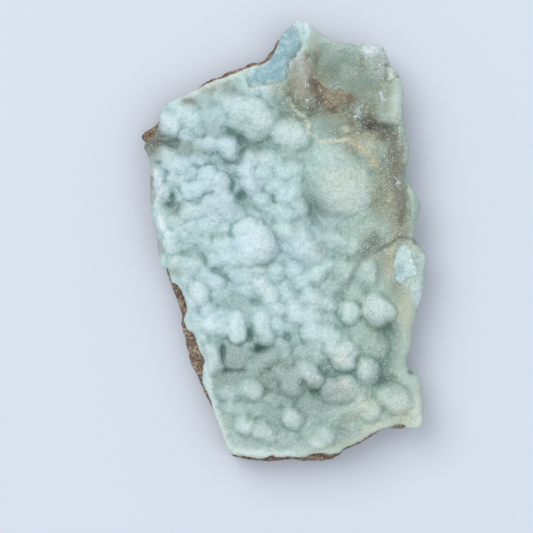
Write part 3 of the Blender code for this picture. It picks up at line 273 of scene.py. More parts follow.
# Places where the crust broke away: outline, then the floor's height in its middle and its
# fall per millimetre in x and in y
BREAKS = (
    (((5.4, 91), (-7, 81), (-10, 71), (-15, 67), (-13.4, 61.4), (-6.6, 62.6),
      (0.8, 64.2), (0.8, 69), (2, 72.4), (5, 75.6), (7.2, 80), (7.6, 88)),
     17.8, -0.08, -0.02),
    (((46.2, -2), (48.6, -1.4), (50.4, -3.4), (51, -6.2), (52.2, -9.4), (52.9, -13.4),
      (50.6, -14.4), (48.8, -14.8), (48, -17.2), (46.4, -17.4), (44.8, -14.8), (44.1, -9.4),
      (44.8, -5)),
     18.3, -0.14, 0.03),
    (((41, 69.8), (42.6, 67.8), (44.8, 66.2), (46.2, 65.6), (44.2, 64.8), (42.8, 63.4),
      (41.2, 64.4), (41.4, 67)),
     19.4, -0.12, 0.05),
    (((52.4, -21.2), (56, -20.6), (55.6, -25.6), (53.2, -24.4)),
     17.2, -0.2, 0),
)
BREAK_WALL_SLOPE = 2.0       # rise per millimetre of a break's sides
BREAK_FILLET = 0.5
BREAK_HACKLE_SIZE = 2.8

# How far noise pushes places about, so that nothing is quite round: push, size of the noise and
# its own level. The push in y reads the noise PUSH_APART levels further on.
LUMP_PUSHES = ((0.9, 5.5, 3), (0.45, 2.2, 8))
COLOUR_PUSHES = ((0.8, 2.6, 21), (0.5, 1, 22))
PUSH_APART = 10.0
# Bubbles on the lumps, in millimetres, and their radius in cells of their packing
BUBBLE_RADIUS = 0.7
BUBBLE_SIZE = 4.2
BUBBLE_RISE = 0.35
UNEVENNESS_SIZE = 3.0
UNEVENNESS = 0.3
KNOBS = ((0.28, 2.6, 0), (0.17, 1.3, 40))  # rise, size, shift of the packing in x
KNOB_DEPTH = 0.6             # how far the gaps go down, in rises
# Bites of the broken edges and walls: depth, size, level or share of the height
OUTLINE_BITES = ((0.45, 3.1, 0), (0.25, 1.1, 5))
CRUST_BITES = ((0.9, 4, 2.2), (0.45, 1.2, 1))
GROWN_BITES = ((0.25, 5, 1),)
ROCK_BITES = ((1.5, 6, 2), (0.8, 2, 1))
CRUST_WALL_STEPS = 12
ROCK_WALL_STEPS = 14
GROWN_UNDERCUT = 1.4         # how far the grown edge rolls under

# The four broad patches on the back that the slab lies on: x, y, reach
RESTING_PATCHES = ((-30, 20, 13), (28, 34, 13), (26, -52, 13), (-8, -58, 13))

# Places where the lumps fade out into a smooth plate: half-width, points along its middle
SMOOTH_BANDS = (
    (2, ((-47, -13), (-40.4, -24), (-38.6, -35), (-33.4, -42), (-31.6, -50),
           (-31.4, -59), (-26, -72), (-22, -83))),
    (2, ((-21, -85), (-8, -86), (6, -85.6), (18, -84.4), (28, -80.8),
           (38, -75.4), (52, -74))),
    (3.8, ((52, -22), (49, -36), (47.6, -48), (52, -57))),
    (4, ((50.4, 18), (50.6, 4))),
    (3, ((40, -10), (40, -18), (46, -24))),
    (6, ((20, 72), (26, 66), (32, 60), (38, 54))),
    (3, ((44, 62), (43.6, 50))),
    (3.4, ((12, 80), (14, 74))),
    (3, ((4.4, 66), (6, 60))),
    (3.2, ((12, 20), (15, 8))),
    (3.6, ((16, 47), (27, 46))),
    (1.6, ((-52.6, 24), (-51.8, 12), (-50.4, 0))),
)
# Colour areas of the crust: x, y, reach in x, reach in y, strength
STAINS = (
    (-29.2, -67, 0.6, 0.8, 0.6), (-20.4, -83.6, 0.8, 0.5, 0.7), (-26.4, -73, 0.5, 0.6, 0.4),
    (33.6, 32.6, 0.7, 0.6, 0.4), (41, 42, 1.2, 0.8, 0.5), (-50.6, 44.6, 1.2, 2, 0.5),
    (34.6, 46.2, 2.4, 1.2, 0.5), (38.2, 44.8, 3.6, 1.9, 0.4), (19, 52.2, 1.4, 1.2, 0.7),
    (47.6, 41, 1.2, 6, 0.25), (12, 51.6, 2.6, 1.4, 0.3), (19.6, 51.6, 2, 1.1, 0.9),
    (35.4, 45.8, 2.6, 1.7, 1), (34, 48.4, 2.4, 2, 0.5), (39.4, 45.5, 3.4, 1.1, 0.8),
    (38.2, 42.2, 2, 1.4, 0.7), (40.2, 40.6, 2.4, 1.3, 0.5), (9.2, 73.4, 0.9, 1.1, 0.6),
    (26.8, 56.6, 2.6, 2, 0.6), (24.6, 54.8, 2.4, 1, 0.5), (17.4, 51.8, 0.9, 1.4, 0.4),
    (-51.4, 41.2, 4.2, 3.8, 0.75), (-46.6, 40.4, 4.4, 1.6, 0.35), (-52.4, 22.4, 0.9, 2.4, 0.5),
    (-6.2, -55.8, 2.4, 2.2, 0.2), (-37.4, 55.8, 2.6, 1.2, 0.45), (50.9, -52.4, 1.5, 1, 0.9),
    (-52.6, 36.8, 3.4, 3.2, 0.5), (-46.3, 5, 0.5, 1.8, 0.5), (-49.6, 38.3, 5, 0.6, 0.5),
    (2.8, 73.2, 0.7, 0.9, 0.6), (1.8, 70.4, 0.6, 0.8, 0.6), (4.8, 73.4, 0.5, 0.6, 0.5),
    (44.8, 41.6, 2.6, 2.2, 0.4), (46.6, 36.6, 1.8, 4, 0.4), (-49, -13, 3, 1.6, 0.4),
    (12.1, 61.4, 2.5, 3.6, 0.75), (14.8, 56.4, 2.4, 3.5, 0.75), (-54.8, 39.6, 2.5, 2.2, 0.7),
)
# Bands: half-width, strength, points along the middle
STAIN_BANDS = (
    (2.8, 0.6, ((42.6, 42), (44.6, 34))),
    (2.4, 0.6, ((45.2, 30), (45.2, 24), (46.4, 14), (46.8, 8))),
    (0.9, 0.7, ((48.6, 21), (48.4, 15), (48, 10), (47, 7.6))),
    (0.9, 0.75, ((53, -1.2), (50.6, 0.6), (48, 1), (45.2, 0.9), (43, -0.9), (40.6, -2.4))),
    (0.8, 0.5, ((40.6, -2.4), (38.6, -4), (35.8, -5.2))),
    (0.6, 0.4, ((2.4, 66.8), (1.4, 68.6), (2.4, 70.6), (3.6, 72.4), (4.4, 74), (6, 75.4))),
    (0.5, 0.5, ((43.2, 64), (44.6, 65), (45.6, 65))),
)
# Bands of painted shade in crevices, along grooves and under domes: half-width, strength, points along
# the middle
SHADE_BANDS = (
    (0.5, 0.5, ((-24.8, -41.6), (-24.6, -48), (-24, -51.4), (-19, -52.2), (-15.4, -51))),
    (0.6, 0.55, ((-13.6, -35.4), (-13.2, -38), (-11.2, -41.2), (-8.6, -43.2), (-5.4, -43))),
    (0.4, 0.4, ((-8, -50.8), (-4.6, -50.8), (-2.2, -48.8), (0.8, -47.6), (3, -44.4))),
    (0.5, 0.5, ((15.6, -47.6), (17.2, -51.6), (16.6, -55.6), (14, -59.4), (10.6, -60.4))),
    (0.4, 0.4, ((-8.4, -52), (-9, -56), (-6.6, -59.4), (-2.6, -60.6), (3, -61.6))),
    (0.4, 0.3, ((-16.4, -61.4), (-13.4, -64.4), (-6, -64.4), (-4, -67))),
    (0.9, 0.3, ((9.4, 20.6), (11.4, 15.4), (14.4, 11.8), (19, 10.2), (25.6, 9))),
    (0.7, 0.4, ((24.6, 38.4), (27, 36), (30, 33.2), (33, 31))),
    (0.7, 0.45, ((22.4, 41), (25.4, 42.4), (28.6, 43.6), (32, 45.4))),
    (0.4, 0.4, ((-25, 33.4), (-22, 31), (-18.6, 30.6))),
    (0.4, 0.35, ((-46.4, 6.6), (-45.8, 4), (-45.4, 1.8))),
    (2.6, 0.55, ((36.6, -0.6), (34, -2.6), (31.6, -5.4), (30.4, -8))),
    (1.3, 0.5, ((34.6, -4.6), (31.6, -6), (29.6, -9.4), (27.4, -14), (25, -19))),
    (2.3, 0.6, ((32, 46.6), (37, 46.4), (41.4, 45))),
    (0.9, 0.4, ((3, 58), (4.4, 54.6), (7, 51.4))),
)
OLIVES = (
    (7, 56, 7, 7, 0.3), (30, 50, 9, 7, 0.35), (13, 68, 4, 7, 0.3), (28, 36, 8, 4, 0.2),
    (-51.6, 41, 4.6, 2.6, 0.55), (-52.4, 35, 2.6, 4, 0.4), (-43, 39, 3, 1.8, 0.3),
    (20.6, 55, 7, 5, 0.35), (10.4, 48.6, 4, 2, 0.35), (30, 44, 4.4, 2.6, 0.5),
    (13.4, 57, 2, 3.4, 0.5), (16, 76, 3.4, 3, 0.3), (36, 33, 3, 6, 0.25), (7, 55, 4.4, 4.2, 0.95),
    (12.4, 54.6, 4.2, 4.6, 0.95), (17.4, 50.6, 3.4, 2.8, 0.7), (23.4, 50.4, 4.8, 3.4, 0.9),
    (28, 47.4, 4.6, 3.2, 0.85), (33, 46.4, 4.6, 3.4, 0.9), (38.6, 41.6, 4.4, 3, 0.85),
    (31.5, 71.4, 1.4, 4, 0.75), (38, 71, 4, 4, 0.4), (39.6, 63.4, 2.6, 4, 0.4),
    (11, 51.2, 3.4, 2.4, 0.6), (39.4, 30, 4, 8, 0.5), (38.4, 14.6, 4, 7, 0.55),
    (6.2, 48.2, 2.2, 1.8, 0.35), (37, 44.6, 6, 2.8, 0.55), (43.6, -18, 3, 2.6, 0.35),
    (45, -20.4, 3.4, 4, 0.5), (36, -34.6, 6, 2, 0.25), (25.4, -70.4, 3.6, 2.6, 0.4),
    (8, -56.4, 6, 4, 0.25), (22, -61, 6, 4, 0.3), (-50.2, 45.4, 3.6, 3.6, 0.4),
    (-36.4, 55.8, 6, 2.4, 0.35), (24, -82, 6, 2.4, 0.3), (25, 56, 19, 19, 0.3),
    (33, 42, 8, 5, 0.3), (8.4, 60.6, 4, 3.4, 0.5), (22.6, 43.6, 6, 4, 0.45), (27, 37, 3.6, 3, 0.3),
    (-1.4, 60.8, 4, 2.6, 0.5), (-53.4, 37, 3, 3, 0.6), (30, 41, 5, 2, 0.4),
    (18, 66, 3.4, 4.4, 0.5), (34.6, 58, 4.6, 6, 0.5), (42, 60.6, 2.8, 5, 0.4), (0, -52, 5, 5, 0.2),
    (36, 1.6, 4, 3.6, 0.4), (12.4, 61.4, 3.2, 5.4, 0.7), (41, 54, 2, 6, 0.35),
    (33, 51, 4.6, 5.4, 0.55), (44.6, 26, 4.6, 19, 0.75), (38.6, 20, 3, 7, 0.5),
    (40.4, -9, 3.8, 7, 0.4), (12.4, 69.8, 2, 4, 0.5), (26.6, 54.6, 3.6, 3, 0.5),
    (47.8, 9, 2.8, 8, 0.7), (35.6, -1, 4, 3.6, 0.5), (13.2, 74.2, 1.8, 4.6, 0.65),
    (3.2, 60.4, 2.5, 5.2, 0.92), (45.4, 1, 3.6, 5.2, 0.45), (-26, 60.2, 8.4, 2.6, 0.38),
    (17.8, 55, 3.8, 3.2, 0.75),
)
BEIGES = (
    (4.8, 64.4, 2.7, 6.6, 0.85), (7.6, 60.2, 3.6, 5.2, 0.75), (8.4, 69, 2.3, 5.6, 0.7),
    (4.6, 70.6, 1.8, 3, 0.6), (12, 66, 2, 3.4, 0.5), (41.6, -6.6, 1.8, 5, 0.3),
    (42.8, 11.8, 2.8, 5.6, 0.6), (47.4, 3.9, 2.6, 2.6, 0.7), (44.6, 3.8, 3, 2.4, 0.6),
    (40.8, 26, 2.2, 6, 0.4), (45.6, 19, 2.6, 4, 0.45), (44.4, 31, 2.8, 7, 0.7),
    (-52.2, 22, 1.3, 8, 0.6), (41.6, 40.6, 4.6, 2.2, 0.45), (33, 50.8, 1.6, 1.6, 0.3),
    (-37.4, 55.4, 2.8, 1.4, 0.7), (-30.6, 60, 3.8, 1.3, 0.6), (-24.4, 62.8, 3.4, 1.1, 0.5),
    (24, -58.8, 5, 3.4, 0.2),
)
# Patches: softness of the border, strength, polygon
RUST_PATCHES = (
    (2, 0.95, ((13.4, 64.4), (15.4, 62), (17.4, 60.6), (20.4, 59.9), (23, 60),
                 (26, 59), (29.4, 57), (28, 55.6), (25.8, 53.8), (23, 54.2),
                 (21.8, 52.4), (20.6, 50.4), (18, 50.8), (15.6, 53), (13.4, 56),
                 (10.8, 59.8), (10.2, 63), (12, 64.6))),
    (1.4, 0.5, ((8, 75.4), (10.4, 75.2), (11, 71), (11.6, 65), (9.8, 63.6),
                (8.4, 68))),
)
TANS = (
    (25, 57, 3, 2, 0.3), (19.6, 57.4, 2.4, 2.6, 0.3), (45, 34, 2.4, 8, 0.25),
    (41.4, -3, 2, 4, 0.35), (46, 12, 2.4, 6, 0.25), (8.8, 74.6, 1.2, 0.7, 0.95),
    (21.8, 78.3, 1.8, 0.8, 0.8), (31.4, 22.2, 2.6, 2.2, 0.3), (43, -6, 2, 3.8, 0.7),
    (42.2, -12, 2.4, 3.6, 0.5), (48, -27, 3.4, 8, 0.5), (36, -6.6, 3.4, 2, 0.3),
    (47, -69.6, 5, 4, 0.3), (43, 17, 2, 2.6, 0.6), (41.2, 7.4, 1.4, 1.6, 0.5),
    (54, -3.2, 3, 1, 0.4), (54.4, -64, 1.4, 8, 0.4), (33, 41.2, 6, 1.8, 0.35),
    (50.6, -1.6, 2.6, 1, 0.6), (22, 49.4, 4, 2, 0.3), (25.6, 42.4, 4.4, 2.6, 0.35),
    (26.8, 37, 3.4, 3.4, 0.3), (37.6, 20, 4, 11, 0.3), (45, 0, 4, 5, 0.2),
)
TAN_BANDS = (
    (1.5, 0.95, ((25.4, 40.2), (28.4, 38.6), (31.4, 36.2), (34, 33.8), (36, 30))),
    (0.6, 0.8, ((20.4, 39.8), (23.6, 39.9), (26.8, 40.6))),
    (0.45, 0.9, ((13.2, 64.6), (14.4, 63.4), (15.8, 61.8), (17.4, 60.9))),
    (0.4, 0.7, ((16.8, 57.8), (18.4, 56), (20.2, 54.2))),
    (0.7, 0.6, ((-12.6, 61.6), (-5.4, 62.8), (1.4, 64))),
)
CREAMS = (
    (42.8, 66, 1.8, 2.6, 0.7), (50, -74, 5, 1.4, 0.4), (33.8, 38.6, 4.6, 3, 0.3),
    (24.6, 44.4, 1.6, 1.4, 0.6), (2.6, 53.4, 1.3, 1.6, 0.45), (12, 79.6, 2.4, 3.4, 0.3),
    (44.2, 50, 2.4, 3.4, 0.35), (24.2, -56.6, 2, 1.8, 0.6), (33, -66.2, 3.4, 3, 0.5),
    (36.4, -74.4, 5, 3, 0.45), (24, 21, 9, 9, 0.35), (15, -84, 4, 1.4, 0.4),
    (-24.6, -74, 2, 5, 0.35), (49.4, -69.6, 5, 3.6, 0.5), (54, -68, 2, 6, 0.3),
    (44.6, 56, 2.6, 8, 0.3), (-3, 59.8, 4, 3, 0.3), (50, -33, 3, 12, 0.45), (46, -64, 8, 8, 0.2),
    (31, -66, 9, 7, 0.2), (22.7, -46.7, 2.2, 2.3, 0.75),
)
CREAM_BANDS = (
    (1.5, 0.45, ((-44.4, 55.6), (-35.4, 59.2), (-31.4, 61.2), (-25.4, 63.6), (-19.4, 65.6),
                 (-13, 68), (-6.6, 71), (-3.8, 74.6), (-1.8, 79.4))),
    (0.8, 0.8, ((1.8, 56), (4.4, 51.6), (6.4, 50.3), (8.6, 48.8), (10, 46.4), (9.8, 43.4),
                (11.6, 42), (13.8, 40.4), (16.6, 39), (20.6, 39.5), (25.6, 40.2))),
    (0.6, 0.55, ((4.2, 50.8), (4.2, 47.6), (6.2, 46.4), (9.4, 46))),
    (1, 0.5, ((-30.6, -60), (-25.4, -74), (-22.6, -82))),
    (2.2, 0.35, ((-21.4, -84), (-8, -85), (6, -84.8), (18, -83.4), (28, -79.6),
                 (38, -74.2), (53, -73.6))),
)
CREAM_PATCHES = (
    (0.5, 0.95, ((41, 69.8), (42.6, 67.8), (44.8, 66.2), (45.8, 65.6), (44.2, 64.8), (42.8, 63.4),
                 (41.2, 64.4), (41.4, 67))),
)
ICE_PATCHES = (
    (0.7, 0.9, ((46.2, -2), (48.6, -1.4), (50.4, -3.4), (51, -6.2), (52.2, -9.4),
                (52.9, -13.4), (50.6, -14.4), (48.8, -14.8), (48, -17.2), (46.4, -17.4),
                (44.8, -14.8), (44.1, -9.4), (44.8, -5))),
    (0.5, 0.9, ((52.4, -21.2), (56, -20.6), (55.4, -25.6), (53.2, -24.4))),
    (0.9, 0.8, ((6, 90), (3.6, 86.4), (5.6, 84), (7, 79), (9, 81), (9.6, 87))),
)
ICE_BANDS = (
    (0.8, 0.7, ((-50.8, 27), (-50.4, 20), (-50.6, 14), (-49.4, 9))),
    (1.4, 0.8, ((-48.2, 8), (-47.4, 5), (-46.4, 3))),
    (1.3, 0.4, ((-39, -26), (-38.4, -34), (-33, -43), (-30.8, -51), (-30.2, -60))),
)
# White areas: partly the crust's own white rims, lobes and streaks, partly painted highlights and glints
# on dome tops
WHITES_AND_HIGHLIGHTS = (
    (12.4, -54.4, 2, 0.9, 0.5), (-15.4, -74, 3, 2.4, 0.3), (46.4, 40.6, 0.5, 5, 0.3),
    (13, -80.6, 3, 2, 0.25), (2.6, -69.6, 3, 3, 0.25), (-27.6, -35.4, 3.4, 3.4, 0.2),
    (16, -39.6, 1.2, 0.9, 0.35), (54.4, -22.6, 2, 3.6, 0.7), (53.6, -68, 2.4, 6, 0.35),
    (45.2, 56.6, 2.2, 6, 0.3), (-11, 60.8, 4, 1.6, 0.35), (22, 22, 8, 7, 0.15),
    (-4, -29, 5, 4, 0.25), (-11, -14, 5, 4, 0.3), (13, -28, 4, 4, 0.3), (13, -12, 4, 3, 0.3),
    (37, -20, 3, 3, 0.25), (13, -44, 3, 3, 0.25), (-14, -84.6, 7, 1.6, 0.3),
    (37.4, -25.6, 3, 2.4, 0.3), (26, -26.4, 2.6, 2.4, 0.25), (45.6, -62.6, 3, 2, 0.25),
    (-42.6, 45.6, 2.4, 2.4, 0.3), (-51.4, 25, 0.8, 4, 0.5), (-48.6, 7.4, 1.6, 3, 0.5),
    (9.4, 84, 1.2, 3, 0.3), (-8.6, -17.2, 1.5, 1.5, 0.9), (-6.6, -20.6, 2.2, 3, 0.4),
    (6.2, 88.2, 1.2, 0.8, 0.9), (32.4, 78, 1.2, 0.9, 0.6), (28.6, 49.2, 0.7, 0.5, 0.9),
    (29.8, 50.6, 0.7, 0.6, 0.6), (9.4, 55.8, 0.6, 0.5, 0.7), (45.6, 22.8, 0.9, 1, 0.6),
    (-11, 0, 6, 5.6, 0.4), (-15, -8, 2.6, 1.8, 0.4), (-44.8, 47.4, 3.2, 3.2, 0.45),
    (6.6, -29.6, 5, 3.4, 0.25), (-18.6, -33, 4, 4, 0.3), (-29, -33, 3.4, 3.4, 0.3),
    (22, -43, 4.4, 5, 0.25), (37.6, -27, 5, 4, 0.2), (-15, 7, 3.6, 2.4, 0.35),
    (42.8, 66.8, 1.6, 2.6, 0.5), (52.4, -20, 2, 3.6, 0.5), (-10, -4, 16, 14, 0.1),
    (2, -24, 15, 11, 0.15), (-11.4, -12, 3.4, 2.4, 0.3), (-27, 4.4, 4, 3.4, 0.3),
    (53.6, -23, 1, 1.8, 0.95), (3, 42, 6, 5, 0.3), (-34, -21, 4, 5, 0.25),
    (8.9, -52.4, 3.3, 2.8, 0.43), (34.1, 75.7, 3.1, 2.3, 0.92),
)
WHITE_BANDS = (
    (1.2, 0.45, ((-31, -51), (-29.4, -60), (-26, -71.6), (-23.6, -79.6), (-19.6, -83.6),
                 (-8, -84.8), (4, -84.8))),
    (1.2, 0.75, ((-49.8, 8.8), (-48.6, 6.2), (-47.2, 3.2), (-46.6, 1.8))),
    (0.6, 0.6, ((-50.6, 27.6), (-49.6, 24.6), (-48.6, 21), (-50.4, 15))),
    (0.5, 0.6, ((2.4, 69.4), (3.2, 71.4), (4, 72.6))),
    (0.4, 0.5, ((5.4, 72), (6.4, 74), (7.6, 75))),
    (1.3, 0.3, ((-44.4, 55.6), (-35.4, 59.6), (-25.4, 64), (-13, 68.4), (-6.6, 71.4))),
    (0.45, 0.9, ((50.2, -4.4), (50.9, -6.6), (51.6, -8.4), (51.5, -10), (52.8, -12.2),
                 (52.7, -13.4))),
    (0.6, 0.9, ((45, -15), (46.2, -16.8), (48, -17))),
    (0.35, 0.9, ((38.2, 59.4), (38.8, 57.4), (39.4, 56))),
    (0.3, 0.8, ((39, 57), (40.4, 56))),
    (0.5, 0.6, ((40.6, 74.6), (41.8, 73), (42.6, 71))),
    (0.6, 0.6, ((7.2, 87.2), (9.6, 85.8))),
)
# Pale blue-white on the tops of high domes: a bluer tint together with painted light on the dome tops
FROSTS_AND_TOP_LIGHTS = (
    (-14, -1.6, 6, 4.6, 0.65), (-24, -6, 4.4, 2.8, 0.35), (0.6, 17.6, 3.6, 3, 0.35),
    (-30, 26, 5, 3, 0.3), (-45, 47, 3.4, 3.2, 0.4), (-18.4, -31.4, 4, 3, 0.4),
    (-22.6, 38.6, 4.4, 2.6, 0.25), (-35, 20, 4, 2.6, 0.3), (-29, -32, 4, 3, 0.3),
    (3, -3, 8, 5, 0.2),
)
MAUVES = (
    (-49.4, -1.6, 1.2, 2.6, 0.7), (-52.6, 22.6, 0.9, 5, 0.8), (-51.2, 17, 0.8, 4, 0.4),
    (32, -77.4, 9, 3, 0.35), (8, 68, 2, 5, 0.25), (54.4, -67, 2, 8, 0.2), (24, -60, 5, 3.4, 0.2),
    (46, 18, 2, 6, 0.25), (-51.6, 22, 1.6, 8, 0.6), (4, 72.4, 1.6, 2.8, 0.6),
    (2, 69, 1.2, 1.6, 0.4), (6.4, 73.6, 1.6, 2, 0.4), (46.6, 4, 2.6, 1.6, 0.3),
    (-50.4, 3, 1.2, 6, 0.3),
)
TEALS = (
    (46.5, -11.6, 1.9, 3, 0.65), (1.6, 81, 2, 3.6, 0.35), (-2.6, 72.6, 2.4, 2.4, 0.3),
    (-6, 67, 2.6, 2, 0.3), (2, 76, 1.6, 2.4, 0.3), (18, 6.8, 5, 2.4, 0.3),
    (5, 4.4, 3.6, 2.4, 0.15),
)
BLUE_PATCHES = (
    (1.6, 0.95, ((5.8, 90), (-2.6, 80.4), (-5, 73.4), (-13.4, 67.2), (-13.4, 62),
                 (-6.6, 62.6), (0.6, 64.2), (0.4, 69), (1.8, 72.4), (4, 75.2), (6.4, 79),
                 (7.2, 84), (7.4, 87))),
)
LAVENDERS = (
    (-51, 22, 3, 9, 0.8), (14.6, 12.2, 6, 7, 0.8), (15, 3, 8, 5, 0.6), (-28, 28, 20, 26, 0.7),
    (-12.6, 21.8, 6, 5, 0.8), (-19, -47, 5, 5, 0.7), (-24, -20, 18, 14, 0.5), (4, -6, 9, 8, 0.5),
    (-18, -48, 8, 6, 0.3), (-11.4, 0.4, 8, 7, 0.5), (6, -29, 6, 5, 0.5), (-22, 58, 9, 3, 0.4),
)
GREENS = (
    (40, 30, 24, 70, 0.9), (50, 20, 6, 60, 0.7), (42, -50, 24, 40, 0.75), (20, 66, 18, 16, 0.9),
    (2, 52, 5, 9, 0.5), (3.4, 41, 8, 8, 0.5), (-12, 48, 9, 9, 0.4), (6, -74, 40, 14, 0.5),
    (18, 24, 12, 14, 0.4), (-10, -54, 10, 8, 0.4),
)
# Dim grey-green areas: partly the crust's own duller tone, partly painted shade in valleys, gaps and
# under domes
DIMS_AND_PAINTED_SHADE = (
    (-24, -55, 6, 7, 0.4), (-3, -62, 6, 9, 0.3), (-19.6, 35, 3, 2.6, 0.3), (24, -76, 7, 4, 0.35),
    (13, -68, 5, 4, 0.3), (-11, -68, 4, 4, 0.2), (21, 12, 4, 3, 0.35), (5, 4, 3.6, 3, 0.35),
    (37, 44, 4, 3, 0.4), (-49.6, -1.4, 1.4, 2.8, 0.7), (-48.2, -4, 1.4, 1.6, 0.6),
    (-43, 9.6, 1.6, 3, 0.3), (21, 44, 16, 6, 0.2), (26, 58, 14, 9, 0.2), (-20, 58, 4, 5, 0.2),
    (-6, -48, 22, 9, 0.2), (-26, -44, 7, 6, 0.3), (-30, 44.6, 2.6, 2.6, 0.4),
    (-10, 40, 4, 4, 0.35), (16, 47.6, 3, 2, 0.3), (45.4, -42, 3, 9, 0.35), (29, 46, 5, 3, 0.35),
    (-51, 46, 2, 2.4, 0.5), (12, 60.4, 6, 5, 0.2), (29, 38, 3.6, 8, 0.2), (-50, 38, 3, 3, 0.4),
    (40, -38.6, 3, 4, 0.3), (8, -54, 20, 14, 0.5), (40.4, -45, 6.4, 15, 0.65),
    (-8, -44, 8, 8, 0.45), (46, -66, 12, 9, 0.2), (24, 66, 11, 12, 0.8), (13, 12, 6, 7, 0.5),
    (-20, -24, 9, 4, 0.35), (-2, -78, 24, 8, 0.3), (-18, 40, 5, 7, 0.35), (0, 54, 4, 8, 0.5),
    (22, -20, 12, 8, 0.3), (13, 77, 4, 7, 0.7), (-22, 58.6, 9, 4, 0.35), (37, 68, 6, 9, 0.45),
    (41, 20, 7, 26, 0.2), (46.4, -24, 5, 12, 0.25), (9.6, 52.2, 4, 2.6, 0.7),
    (52.4, 12, 4, 10, 0.6), (49, 36, 2, 8, 0.4), (54, -9, 3, 7, 0.55), (33, 52, 6, 4, 0.5),
    (38, -8, 8, 12, 0.25), (-19.4, -46.6, 5, 5, 0.8), (-22, -53.6, 5, 2.4, 0.6),
    (-26.4, -54.6, 3.2, 2.4, 0.5), (-40.6, 36.2, 3.4, 2.6, 0.5), (-45, 36.8, 2.6, 1.6, 0.4),
    (-11.8, 37.6, 5, 2.2, 0.55), (-21.4, 41.4, 2.4, 3, 0.3), (2.6, 32.2, 5, 1.6, 0.5),
    (2.6, -60.2, 3.4, 2.4, 0.5), (22.6, -76.6, 4.6, 5, 0.55), (-43, 37.6, 8, 5, 0.3),
    (-27, 44, 4, 3.6, 0.45), (-4, -62, 26, 20, 0.28), (-24, -60, 6, 12, 0.3),
    (16, -60, 8, 5, 0.25), (21, 3.6, 4, 3.6, 0.25), (41, -54, 4, 5, 0.5), (42, -37, 3.4, 4, 0.4),
    (10, -66, 8, 4, 0.4), (-45.4, 12.4, 3.6, 3.6, 0.35), (-38, 36.6, 4, 3, 0.4),
    (-50.4, 34, 4, 4, 0.5), (-52.6, 20, 1.4, 8, 0.5), (-50.6, -3, 1.6, 6, 0.6),
    (17, 45, 5, 3, 0.4), (-26, -70, 4, 5, 0.25), (34, -1, 4, 4, 0.5), (-35, 36, 4.4, 3, 0.5),
    (-11, 35.2, 5, 3.5, 0.53), (45.6, -60.4, 5.1, 4, 0.58), (14.5, -60.8, 4, 4, 0.67),
    (37.5, -52, 4.4, 5, 0.46), (-42.8, -11.4, 4, 3.1, 0.56), (-42.3, 12.3, 3.3, 3.4, 0.73),
    (44, -36, 3.1, 4.7, 0.6), (13.4, -3.5, 4, 3.6, 0.62),
)
# The areas, bands and patches of each colour
COLOUR_AREAS = {
    "stain": (STAINS, STAIN_BANDS, ()), "rust": ((), (), RUST_PATCHES),
    "shade": ((), SHADE_BANDS, ()), "olive": (OLIVES, (), ()), "beige": (BEIGES, (), ()),
    "tan": (TANS, TAN_BANDS, ()), "cream": (CREAMS, CREAM_BANDS, CREAM_PATCHES),
    "lavender": (LAVENDERS, (), ()), "green": (GREENS, (), ()), "dim": (DIMS_AND_PAINTED_SHADE, (), ()),
    "blue": ((), (), BLUE_PATCHES), "frost_and_top_light": (FROSTS_AND_TOP_LIGHTS, (), ()), "ice": ((), ICE_BANDS, ICE_PATCHES),
    "white": (WHITES_AND_HIGHLIGHTS, WHITE_BANDS, ()), "teal": (TEALS, (), ()), "mauve": (MAUVES, (), ()),
}
# Colours of the crust and of the rock, as red, green and blue of linear light
# deep serves as painted shade in creases and hollows and as the dark grain colour; white also serves as
# the painted highlight on lump tops
CRUST_COLOURS = {
    "pale": (0.52, 0.71, 0.68, 1), "deep": (0.12, 0.23, 0.19, 1), "murky": (0.33, 0.46, 0.44, 1),
    "lavender": (0.51, 0.655, 0.735, 1), "green": (0.44, 0.57, 0.44, 1),
    "dim": (0.25, 0.325, 0.26, 1), "olive": (0.17, 0.172, 0.085, 1),
    "beige": (0.33, 0.30, 0.20, 1), "tan": (0.54, 0.48, 0.27, 1), "shade": (0.12, 0.15, 0.115, 1),
    "rust": (0.29, 0.205, 0.10, 1), "stain": (0.08, 0.06, 0.034, 1), "cream": (0.70, 0.70, 0.53, 1),
    "mauve": (0.42, 0.41, 0.43, 1), "blue": (0.25, 0.45, 0.50, 1), "frost_and_top_light": (0.64, 0.81, 0.93, 1),
    "ice": (0.66, 0.81, 0.80, 1), "teal": (0.27, 0.44, 0.46, 1), "white": (0.80, 0.91, 0.90, 1),
    "brown": (0.10, 0.075, 0.045, 1),
}
ROCK_COLOURS = {
    "mid": (0.27, 0.18, 0.12, 1), "light": (0.56, 0.44, 0.32, 1), "dark": (0.06, 0.042, 0.03, 1),
    "rusty": (0.36, 0.19, 0.10, 1), "ochre": (0.36, 0.28, 0.13, 1),
}
